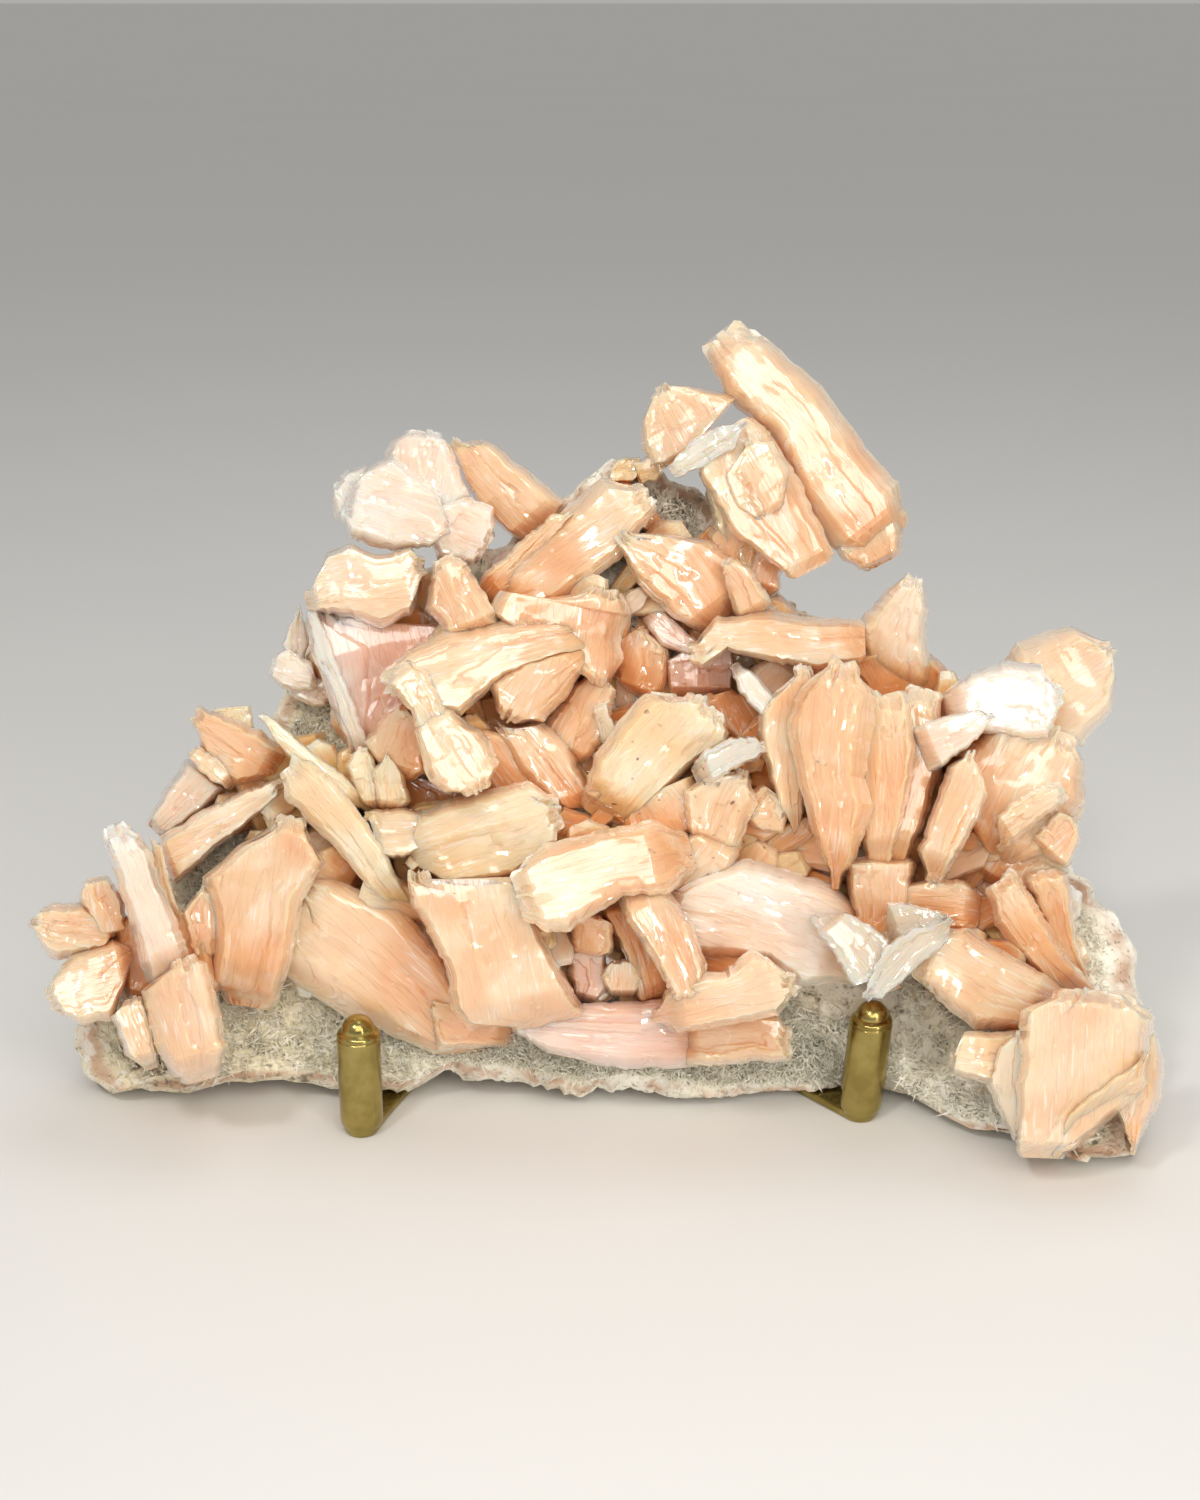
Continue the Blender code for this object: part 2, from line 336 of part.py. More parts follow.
# Colour, roughness and metallic value of each piece's plain material
CRYSTAL_FINISH = ((0.83, 0.60, 0.44, 1.0), 0.35, 0.0)
MATRIX_FINISH = ((0.60, 0.55, 0.42, 1.0), 0.9, 0.0)
BRASS_FINISH = ((0.42, 0.33, 0.11, 1.0), 0.25, 1.0)

MM = 0.001
DOWN = math.radians(LOOK_DOWN)
FORWARD = np.array((0.0, math.cos(DOWN), -math.sin(DOWN)))
UPWARD = np.array((0.0, math.sin(DOWN), math.cos(DOWN)))
RIGHTWARD = np.array((1.0, 0.0, 0.0))
MIDDLE = np.array((0.0, 0.0, TABLE_DROP))


def clear_scene():
    """Removes whatever the scene holds."""
    for thing in list(bpy.data.objects):
        bpy.data.objects.remove(thing, do_unlink=True)


def in_plane(places):
    """Picture places (x, y) as millimetres right of and above the picture's centre."""
    places = np.asarray(places, float)
    return np.stack(((places[..., 0] - PICTURE_CENTRE[0]) * SCALE,
                     (PICTURE_CENTRE[1] - places[..., 1]) * SCALE), axis=-1)


def in_space(right, up, reach):
    """Millimetres in the picture plane and a reach as world millimetres: the further a point reaches towards
    the viewer, the closer it draws to the line from the viewer to the middle of the picture."""
    closer = (1.0 - reach / VIEW_DISTANCE)[..., None]
    return (MIDDLE - reach[..., None] * FORWARD
            + (right[..., None] * RIGHTWARD + up[..., None] * UPWARD) * closer)


def make_material(name, finish):
    """A Principled material of one colour, roughness and metallic value."""
    material = bpy.data.materials.new(name)
    material.use_nodes = True
    shader = material.node_tree.nodes["Principled BSDF"]
    shader.inputs["Base Color"].default_value = finish[0]
    shader.inputs["Roughness"].default_value = finish[1]
    shader.inputs["Metallic"].default_value = finish[2]
    material.diffuse_color = finish[0]
    return material


def add_object(name, bm, material=None):
    """A mesh object from a bmesh, which is freed."""
    mesh = bpy.data.meshes.new(name)
    bmesh.ops.recalc_face_normals(bm, faces=bm.faces)
    bm.to_mesh(mesh)
    bm.free()
    thing = bpy.data.objects.new(name, mesh)
    bpy.context.scene.collection.objects.link(thing)
    if material:
        mesh.materials.append(material)
    return thing


def side_chains(along, across):
    """An outline's two sides as (along, across) chains that run from its lowest to its highest place."""
    first, last = int(np.argmin(along)), int(np.argmax(along))
    count = len(along)
    forward = [(first + step) % count for step in range((last - first) % count + 1)]
    backward = [(first - step) % count for step in range((first - last) % count + 1)]
    return [(np.maximum.accumulate(along[chain]) + np.arange(len(chain)) * 1e-6, across[chain])
            for chain in (forward, backward)]


def blade_stations(along):
    """Places along a blade where its outline turns, kept apart by a share of its length."""
    length = along.max() - along.min()
    stations = [along.min()]
    for place in np.sort(along):
        if place - stations[-1] > STATION_SPACING * length and along.max() - place > LAST_STATION * length:
            stations.append(place)
    return np.array(stations + [along.max()])


def blade_points(row):
    """World points of one crystal: six-sided rings along its length, in millimetres.

    The front face is a plane through the root and tip reach, tilted across by the edge difference. The
    thickness is measured square to it, and the whole solid, sides included, keeps within the outline."""
    growth, root, tip, tilt, thickness, bevel_left, bevel_right, outline = row[1:]
    angle = math.radians(growth)
    grow = np.array((math.cos(angle), math.sin(angle)))
    side = np.array((math.sin(angle), -math.cos(angle)))
    places = in_plane(np.array(outline, float).reshape(-1, 2))
    heart = places.mean(axis=0)
    places = heart + (places - heart) * (OVERGROWTH if over_slab(heart) else 1.0)
    along, across = places @ grow, places @ side
    chains = side_chains(along, across)
    stations = blade_stations(along)
    inset = BLUNTNESS * (stations[-1] - stations[0])
    measured = np.clip(stations, stations[0] + inset, stations[-1] - inset)
    edges = np.array([np.interp(measured, *chain) for chain in chains])
    left, right = edges.min(axis=0), edges.max(axis=0)
    full_width, length = (right - left).max(), stations[-1] - stations[0]
    middle = (left + right) / 2
    half = np.maximum((right - left) / 2, LEAST_WIDTH * full_width / 2)
    left, right = middle - half, middle + half

    rise, slant = (tip - root) / length, tilt / full_width
    square = math.sqrt(1 + rise * rise + slant * slant)
    lean_along = thickness * np.clip(rise / square, -LEAN_LIMIT * length / thickness,
                                     LEAN_LIMIT * length / thickness)
    lean_across = thickness * np.clip(slant / square, -LEAN_LIMIT * full_width / thickness,
                                      LEAN_LIMIT * full_width / thickness)
    root_extra = 0.0
    if over_slab(stations[0] * grow + middle[0] * side):
        root_extra = np.clip(root - thickness - ROOT_REACH, 0.0, ROOT_EXTRA)
    front = stations[0] - min(lean_along, 0) + (stations - stations[0]) * (1 - abs(lean_along) / length)
    front_left, front_right = left - min(lean_across, 0), right - max(lean_across, 0)
    front_left = np.minimum(front_left, (left + right) / 2)
    front_right = np.maximum(front_right, (left + right) / 2)
    width = front_right - front_left

    at_end = np.zeros(len(stations))
    at_end[0] = at_end[-1] = 1.0
    rings = []
    for share, depth, taper in ((0.0, EDGE_DROP, 0.0), (bevel_left, 0.0, END_TAPER),
                                (1 - bevel_right, 0.0, END_TAPER), (1.0, EDGE_DROP, 0.0),
                                (1 - BACK_INSET, 1.0, -BACK_TAPER), (BACK_INSET, 1.0, -BACK_TAPER)):
        deep = depth + taper * at_end
        place_across = front_left + share * width
        reach = root + rise * (front - stations[0]) + slant * (place_across - middle)
        reach -= deep * thickness / square
        if depth == 1.0:
            reach -= root_extra * (1 - (stations - stations[0]) / length)
        u = front + deep * lean_along
        v = place_across + deep * lean_across
        flat = u[:, None] * grow + v[:, None] * side
        rings.append(in_space(flat[:, 0], flat[:, 1], reach))
    points = np.concatenate(rings)
    points[:, 2] = np.maximum(points[:, 2], CRYSTAL_CLEARANCE)
    return points


def slab_radius(turns, grow=0.0):
    """Distance of the slab's edge from MATRIX_CENTRE, and its reach, in each direction given in radians."""
    edge = np.array(MATRIX_EDGE, float)
    spokes = in_plane(edge[:, :2]) - in_plane(MATRIX_CENTRE)
    angles = np.arctan2(spokes[:, 1], spokes[:, 0])
    order = np.argsort(angles)
    radius = np.interp(turns, angles[order], np.hypot(*spokes[order].T), period=2 * math.pi) + grow
    return radius, np.interp(turns, angles[order], edge[order, 2], period=2 * math.pi)


def over_slab(place):
    """Whether a place in the picture plane lies well inside the slab's edge."""
    spoke = place - in_plane(MATRIX_CENTRE)
    radius = slab_radius(math.atan2(spoke[1], spoke[0]))[0]
    return math.hypot(*spoke) < WELL_INSIDE * radius


def hull_of(points):
    """The convex solid that just encloses the points, as a bmesh."""
    bm = bmesh.new()
    for point in points:
        bm.verts.new(point)
    hull = bmesh.ops.convex_hull(bm, input=bm.verts)
    inner = {vert for vert in hull["geom_interior"] if isinstance(vert, bmesh.types.BMVert)}
    bmesh.ops.delete(bm, geom=list(inner), context="VERTS")
    return bm


def make_crystal(row):
    """One crystal as the solid with flat faces that encloses its rings.

    Nearly flat neighbours become one face first, and the corners that stay are enclosed anew."""
    bm = hull_of(blade_points(row) * MM)
    bmesh.ops.dissolve_limit(bm, angle_limit=math.radians(FLATNESS), verts=bm.verts, edges=bm.edges)
    kept = [vert.co[:] for vert in bm.verts]
    bm.free()
    return add_object(row[0], hull_of(kept))


def matrix_surface(grow=0.0):
    """The slab as a closed bmesh: rings round its centre out to its edge, in front and behind.

    The edge runs through MATRIX_EDGE. The front rises by the round swellings of MATRIX_RISES, the back is
    broken nearly flat, and small lumps come from a sum of waves. grow pushes the surface out, in
    millimetres."""
    centre = in_plane(MATRIX_CENTRE)
    turns = np.linspace(-math.pi, math.pi, MATRIX_TURNS, endpoint=False)
    radius, edge_reach = slab_radius(turns, grow)

    bm = bmesh.new()

    def ring(share, depth_of):
        """The vertices of one ring, at a share of the way out to the edge."""
        right = centre[0] + share * radius * np.cos(turns)
        up = centre[1] + share * radius * np.sin(turns)
        points = in_space(right, up, depth_of(right, up, share))
        points[:, 2] = np.maximum(points[:, 2], UNDERSIDE - grow)
        return [bm.verts.new(point * MM) for point in points]

    def lumps(right, up):
        """Small lumps: two crossed waves about 20 mm long and one about 7 mm long."""
        return (0.9 * np.sin(right * 0.31 + 1.3 * np.sin(up * 0.17)) * np.cos(up * 0.37)
                + 0.6 * np.sin(right * 0.71 + up * 0.53))

    def front(right, up, share):
        """Reach of the front: its edge's reach near the rim, and the swellings further in."""
        place_x, place_y = right / SCALE + PICTURE_CENTRE[0], PICTURE_CENTRE[1] - up / SCALE
        swell = sum(height * np.exp(-((place_x - x) ** 2 + (place_y - y) ** 2)
                                    / (2 * (SWELL_SPREAD * spread) ** 2))
                    for x, y, spread, height in MATRIX_RISES)
        rim = share ** 3
        return RIM_LIFT + edge_reach * rim + (1 - rim) * swell + (1 - 0.6 * rim) * lumps(right, up) + grow

    def middle(right, up, share):
        """Reach of the outermost ring, a little behind the edge."""
        return edge_reach - RIM_DEPTH + 0 * right

    def back(right, up, share):
        """Reach of the broken back, which comes forward near the edge."""
        rim = share ** 4
        return ((1 - rim) * BACK_REACH + rim * np.minimum(edge_reach - BACK_SLOPE, BACK_REACH + BACK_RISE)
                + 1.5 * share * lumps(up, right) - grow)

    loops = [ring(share, front) for share in MATRIX_FRONT_RINGS]
    loops.append(ring(1.0, middle))
    loops += [ring(share, back) for share in MATRIX_BACK_RINGS]
    for inner, outer in zip(loops, loops[1:]):
        for here in range(MATRIX_TURNS):
            there = (here + 1) % MATRIX_TURNS
            bm.faces.new((inner[here], outer[here], outer[there], inner[there]))
    for loop, depth_of in ((loops[0], front), (loops[-1], back)):
        right, up = np.array([centre[0]]), np.array([centre[1]])
        pole = bm.verts.new(in_space(right, up, depth_of(right, up, 0.0))[0] * MM)
        for here in range(MATRIX_TURNS):
            bm.faces.new((loop[here], loop[(here + 1) % MATRIX_TURNS], pole))
    bmesh.ops.triangulate(bm, faces=bm.faces)
    return bm


def boolean(target, operation, cutters):
    """Applies one exact Boolean of the cutters to the target and removes the cutters."""
    group = bpy.data.collections.new("cutters")
    bpy.context.scene.collection.children.link(group)
    for cutter in cutters:
        group.objects.link(cutter)
    modifier = target.modifiers.new("cut", "BOOLEAN")
    modifier.operation = operation
    modifier.solver = "EXACT"
    modifier.operand_type = "COLLECTION"
    modifier.collection = group
    result = bpy.data.meshes.new_from_object(target.evaluated_get(bpy.context.evaluated_depsgraph_get()))
    target.modifiers.clear()
    target.data = result
    for cutter in list(group.objects):
        bpy.data.objects.remove(cutter, do_unlink=True)
    bpy.data.collections.remove(group)


def loose_bodies(bm):
    """The separate bodies of a bmesh, each a list of its faces, largest first."""
    left, bodies = set(bm.faces), []
    while left:
        seed = left.pop()
        body, edge_of_search = [seed], [seed]
        while edge_of_search:
            face = edge_of_search.pop()
            for edge in face.edges:
                for neighbour in edge.link_faces:
                    if neighbour in left:
                        left.remove(neighbour)
                        body.append(neighbour)
                        edge_of_search.append(neighbour)
        bodies.append(body)
    return sorted(bodies, key=len, reverse=True)


def undergrowth():
    """Rows of short blades that stand close over the swelling between the big ones, turned outwards."""
    chance = random.Random(UNDER_SEED)
    rows = []
    for x, y in UNDER_PLACES:
        turn = math.degrees(math.atan2(UNDER_FOCUS[1] - y, x - UNDER_FOCUS[0])) + chance.uniform(-50, 50)
        length, width = chance.uniform(75, 105), chance.uniform(45, 65)
        reach = chance.uniform(9, 13)
        angle = math.radians(turn)
        outline = []
        for along, across in ((-0.5, -0.3), (-0.5, 0.3), (0.3, 0.5), (0.5, 0.2), (0.5, -0.25), (0.25, -0.5)):
            outline += [x + along * length * math.cos(angle) + across * width * math.sin(angle),
                        y - along * length * math.sin(angle) + across * width * math.cos(angle)]
        rows.append((f"under_{len(rows)}", turn, reach - 2, reach + 5, chance.uniform(-4, 4), 8, 0.25, 0.25,
                     outline))
    return rows


def table_place(place):
    """Where the line of sight through a picture place meets the table, in world millimetres."""
    right, up = in_plane(place)
    slope = math.cos(DOWN) * up
    reach = -(TABLE_DROP + slope) / (math.sin(DOWN) - slope / VIEW_DISTANCE)
    return in_space(np.array([right]), np.array([up]), np.array([reach]))[0]


def make_peg(name, profile, spot, lean=0.0, grow=0.0):
    """A turned peg: its half outline spun round the upright line through its foot, then leant sideways."""
    bm = bmesh.new()
    loops = []
    for radius, height in profile:
        turns = [2 * math.pi * side / PEG_SIDES for side in range(PEG_SIDES)]
        shift = spot[0] + height * math.tan(math.radians(lean))
        loops.append([bm.verts.new(((shift + (radius + grow) * math.cos(turn)) * MM,
                                    (spot[1] + (radius + grow) * math.sin(turn)) * MM, height * MM))
                      for turn in turns])
    for lower, upper in zip(loops, loops[1:]):
        for here in range(PEG_SIDES):
            there = (here + 1) % PEG_SIDES
            bm.faces.new((lower[here], lower[there], upper[there], upper[here]))
    bm.faces.new(loops[0][::-1])
    bm.faces.new(loops[-1])
    bmesh.ops.triangulate(bm, faces=bm.faces)
    return add_object(name, bm)


def make_strip(name, path):
    """A flat strip on the table along a path seen from above."""
    path = np.array(path, float)
    heading = np.gradient(path, axis=0)
    heading /= np.linalg.norm(heading, axis=1)[:, None]
    aside = np.stack((heading[:, 1], -heading[:, 0]), axis=1) * ARM_WIDTH / 2
    bm = bmesh.new()
    loops = [[bm.verts.new((x * MM, y * MM, z * MM)) for x, y, z in
              ((*(here - off), ARM_LIFT), (*(here + off), ARM_LIFT), (*(here + off), ARM_THICKNESS),
               (*(here - off), ARM_THICKNESS))] for here, off in zip(path, aside)]
    for back, front in zip(loops, loops[1:]):
        for side in range(4):
            bm.faces.new((back[side], back[(side + 1) % 4], front[(side + 1) % 4], front[side]))
    bm.faces.new(loops[0])
    bm.faces.new(loops[-1])
    bmesh.ops.triangulate(bm, faces=bm.faces)
    return add_object(name, bm)


def bent_arm(spot, heading):
    """The path of an arm from a peg to the hub: a quadratic curve that leaves in the given direction."""
    start, end = np.array(spot[:2]), np.array(HUB_PLACE)
    angle = math.radians(heading)
    bend = start + ARM_REACH * np.array((math.cos(angle), math.sin(angle)))
    share = np.linspace(0.0, 1.0, ARM_STEPS)[:, None]
    return (1 - share) ** 2 * start + 2 * share * (1 - share) * bend + share ** 2 * end


def back_distance(slab, height):
    """How far behind the middle the rearmost point of the slab's back lies, round the pad's height."""
    tree = BVHTree.FromObject(slab, bpy.context.evaluated_depsgraph_get())
    hits = []
    for across in (-1, 0, 1):
        for above in (-1, 0, 1):
            start = Vector((HUB_PLACE[0] + across * PAD_RADIUS, 90.0, height + above * PAD_RADIUS)) * MM
            hit = tree.ray_cast(start, Vector((0, -1, 0)))[0]
            hits.append(hit.y / MM + above * PAD_RADIUS * -math.tan(DOWN))
    return max(hits)


def make_stand(slab, material):
    """The brass stand: two pegs, their arms, the hub with its rear foot, and the back rest, in one solid."""
    left, right = table_place(LEFT_PEG), table_place(RIGHT_PEG)
    hub = np.array(HUB_PLACE)
    parts = [make_peg("left_peg", PEG_PROFILE, left),
             make_peg("right_peg", PEG_PROFILE, right, RIGHT_PEG_LEAN),
             make_strip("left_arm", bent_arm(left, LEFT_ARM_HEADING)),
             make_strip("right_arm", bent_arm(right, RIGHT_ARM_HEADING)),
             make_strip("rear_foot", (hub, hub + (0, REAR_FOOT_LENGTH / 2), hub + (0, REAR_FOOT_LENGTH))),
             make_peg("hub", HUB_PROFILE, hub),
             make_peg("post", POST_PROFILE, hub)]
    pad_height = POST_HEIGHT - PAD_DROP
    contact = back_distance(slab, pad_height) + GAP
    face = Vector((hub[0], contact, pad_height)) * MM
    pad = make_peg("pad", PAD_PROFILE, (0.0, 0.0))
    pad.data.transform(Matrix.Translation(face) @ Matrix.Rotation(math.radians(-90) - DOWN, 4, "X"))
    too_long = PAD_STEM - (hub[1] - contact) / math.cos(DOWN)
    for vert in pad.data.vertices:
        if (vert.co - face).length > PAD_STEM / 3 * MM:
            vert.co -= Vector(FORWARD) * too_long * MM
    parts.append(pad)
    solid = parts[0]
    for piece in parts[1:]:
        boolean(solid, "UNION", [piece])
    solid.name = solid.data.name = "brass_stand"
    solid.data.materials.clear()
    solid.data.materials.append(material)
    return solid


def nearest_crystal(point):
    """The name of the crystal whose outline's middle lies nearest to a world point, in millimetres."""
    def distance(row):
        return np.linalg.norm(blade_points(row).mean(axis=0) - point)
    return min(CRYSTALS, key=distance)[0]


def make_crystals(material):
    """The crystals, joined wherever they overlap and cut clear of the slab and the pegs.

    The largest joined solid keeps the name stilbite_crystals. A spray that touches no other becomes a solid
    of its own, named after the crystal at its middle. Splinters left by the cuts are dropped."""
    blades = [make_crystal(row) for row in (*CRYSTALS, *undergrowth())]
    solid = blades[0]
    for blade in blades[1:]:
        boolean(solid, "UNION", [blade])
    slab = add_object("slab_with_gap", matrix_surface(GAP))
    gap = GAP + PEG_CLEARANCE
    pegs = [make_peg("peg_with_gap", PEG_PROFILE, table_place(LEFT_PEG), grow=gap),
            make_peg("peg_with_gap", PEG_PROFILE, table_place(RIGHT_PEG), RIGHT_PEG_LEAN, gap)]
    for cutter in (slab, *pegs):
        boolean(solid, "DIFFERENCE", [cutter])
    bm = bmesh.new()
    bm.from_mesh(solid.data)
    bmesh.ops.dissolve_limit(bm, angle_limit=math.radians(FACE_MERGE), verts=bm.verts, edges=bm.edges)
    bmesh.ops.triangulate(bm, faces=bm.faces)
    bodies = loose_bodies(bm)
    for number, body in enumerate(bodies):
        piece = bmesh.new()
        verts = {vert: piece.verts.new(vert.co) for vert in {vert for face in body for vert in face.verts}}
        for face in body:
            piece.faces.new([verts[vert] for vert in face.verts])
        volume = piece.calc_volume() / MM ** 3
        centre = np.mean([vert.co[:] for vert in piece.verts], axis=0) / MM
        if volume < SPLINTER_VOLUME:
            piece.free()
            continue
        name = "stilbite_crystals" if number == 0 else nearest_crystal(centre) + "_spray"
        add_object(name, piece, material)
    bm.free()
    bpy.data.objects.remove(solid, do_unlink=True)


def centre_on_base():
    """Moves every piece so that the origin lies under the middle of the whole, on the table."""
    corners = np.array([vert.co[:] for thing in bpy.data.objects for vert in thing.data.vertices])
    middle = (corners.min(axis=0) + corners.max(axis=0)) / 2
    for thing in bpy.data.objects:
        thing.data.transform(Matrix.Translation((-middle[0], -middle[1], -corners[:, 2].min())))


def main():
    """Builds the slab, the crystals and the stand."""
    clear_scene()
    crystal_finish = make_material("stilbite", CRYSTAL_FINISH)
    matrix_finish = make_material("matrix_rock", MATRIX_FINISH)
    brass_finish = make_material("brass", BRASS_FINISH)
    slab = add_object("matrix", matrix_surface(), matrix_finish)
    make_crystals(crystal_finish)
    make_stand(slab, brass_finish)
    centre_on_base()


main()
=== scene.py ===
"""The looks of a stilbite cluster on its brass stand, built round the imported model.

Places on the front of the specimen are read in a 1200 x 1500 picture of it, as (x, y) from its upper left
corner. A third number, the reach, says how many millimetres a point lies nearer to the viewer than the plane
through the specimen's middle. Everything is worked out in millimetres and put into the meshes in metres.
"""

import math
import random
import zlib

import bpy
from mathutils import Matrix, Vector
from mathutils.bvhtree import BVHTree
import numpy as np


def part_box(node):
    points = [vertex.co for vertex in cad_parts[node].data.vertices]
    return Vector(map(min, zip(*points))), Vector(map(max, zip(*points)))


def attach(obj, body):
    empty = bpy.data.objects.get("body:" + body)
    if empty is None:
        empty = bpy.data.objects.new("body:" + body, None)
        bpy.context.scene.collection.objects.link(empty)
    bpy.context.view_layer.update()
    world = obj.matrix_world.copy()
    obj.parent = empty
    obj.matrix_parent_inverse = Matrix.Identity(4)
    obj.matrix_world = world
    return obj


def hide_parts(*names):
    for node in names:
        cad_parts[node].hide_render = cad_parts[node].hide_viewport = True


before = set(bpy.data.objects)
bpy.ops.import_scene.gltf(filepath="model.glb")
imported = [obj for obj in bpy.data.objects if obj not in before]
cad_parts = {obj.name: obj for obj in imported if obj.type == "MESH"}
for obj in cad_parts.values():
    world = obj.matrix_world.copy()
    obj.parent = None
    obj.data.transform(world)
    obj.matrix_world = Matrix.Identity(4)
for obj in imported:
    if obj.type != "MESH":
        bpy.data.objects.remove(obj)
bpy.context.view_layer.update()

# The viewer and the picture
MM = 0.001
SCALE = 0.145
PICTURE_CENTRE = (600.0, 750.0)
VIEW_DISTANCE = 302.0      # a lens of LENS mm on a frame of SENSOR mm sees the picture's height from here
LENS = 50.0
SENSOR = 36.0
LOOK_DOWN = math.radians(20.0)
TABLE_DROP = 46.5          # how far the table lies below the middle of the specimen

# Form of the crystals, as in the solids
EDGE_DROP = 0.42
END_TAPER = 0.30
OVERGROWTH = 1.10          # growth of the traced outlines over the slab, which hides the gaps
BEVEL = 0.55               # share of each traced bevel that is kept
ROOT_REACH = 2.0
ROOT_EXTRA = 12.0
ROOT_SINK = 4.5            # how far a root sinks back into the slab
END_INSET = 0.060          # share of the length over which both ends close
FACE_LAYERS = 5            # broken layers of a large crystal's face
CRYSTAL_CLEARANCE = 0.6

# Form of the slab and the stand, as in the solids
UNDERSIDE = 1.55
BACK_SHRINK = 0.055        # share by which the slab narrows towards its back
BACK_REACH = -15.0
MATRIX_CENTRE = (600.0, 850.0)
PEG_RADIUS = 3.0
LEFT_PEG = (362.5, 1130.0)
RIGHT_PEG = (859.0, 1115.0)
RIGHT_PEG_LEAN = 4.0
LEFT_ARM_HEADING = 75.0
RIGHT_ARM_HEADING = 130.0
ARM_REACH = 26.0
ARM_THICKNESS = 1.2
ARM_WIDTH = 4.6
ARM_LIFT = 0.08
HUB_PLACE = (-3.0, 24.0)
HUB_RADIUS = 6.0
HUB_THICKNESS = 3.0
REAR_FOOT_LENGTH = 16.0
POST_RADIUS = 2.0
POST_HEIGHT = 42.0
PAD_RADIUS = 4.0
PAD_STEM_RADIUS = 1.6
PAD_DROP = 4.0             # how far below the post's top the pad's axis meets the slab
PAD_GAP = 0.3
PAD_THICKNESS = 1.6
LATHE_SIDES = 72
AXIS_GAP = 0.02            # radius at which a turned profile starts and ends
PEG_TOP = (15.75, 2.3, 2.15)                # height, radius and rise of the peg's dome
PEG_PROFILE = (            # radius and height, from the foot to the dome
    (AXIS_GAP, 0), (2.2, 0), (2.35, 0.35), (2.55, 0.7), (2.50, 0.9), (2.92, 1.7), (3.0, 2.6), (3.0, 14.6),
    (2.86, 14.7), (2.86, 14.85), (3.0, 14.95), (2.9, 15.4), (2.40, 15.75), (2.3, 15.8),
)

# Outline of the slab: picture place and the reach of the edge
MATRIX_EDGE = (
    (77, 1022, 4), (78, 1080, 4), (112, 1096, 5), (136, 1087, 5), (180, 1095, 5), (224, 1083, 5),
    (272, 1080, 5), (311, 1087, 4.5), (340, 1093, 4.5), (408, 1093, 4.5), (440, 1076, 4.5), (500, 1077, 5),
    (530, 1085, 5), (584, 1096, 5.5), (630, 1086, 5), (683, 1097, 5.5), (719, 1100, 5.5), (787, 1096, 2.5),
    (881, 1092, 1.5), (915, 1099, 6), (966, 1129, 13), (1015, 1137, 16), (1049, 1152, 19), (1093, 1159, 22),
    (1114, 1175, 25), (1134, 1157, 23), (1142, 1080, 16), (1136, 994, 9), (1134, 953, 6), (1117, 922, 5),
    (1078, 876, 4), (1060, 800, 3), (1030, 720, 2), (950, 676, 2), (880, 650, 1), (800, 612, 0),
    (770, 580, 0), (722, 535, 0), (700, 490, 0), (655, 466, 0), (608, 458, 0), (560, 500, -1),
    (500, 548, -1), (440, 560, 0), (380, 590, 0), (330, 620, 0), (288, 670, 0), (276, 700, 0),
    (274, 735, 0), (215, 780, 1), (160, 870, 2), (100, 960, 3),
)

# Rises of the slab's front: picture place of the top, spread in picture units, and height
MATRIX_RISES = (
    (600, 850, 250, 9.0), (880, 780, 170, 7.0), (260, 900, 150, 6.0), (420, 640, 130, 5.0),
    (720, 560, 110, 4.0), (1080, 1050, 110, 9.0), (600, 1045, 220, 4.0), (150, 1010, 90, 6.0),
)

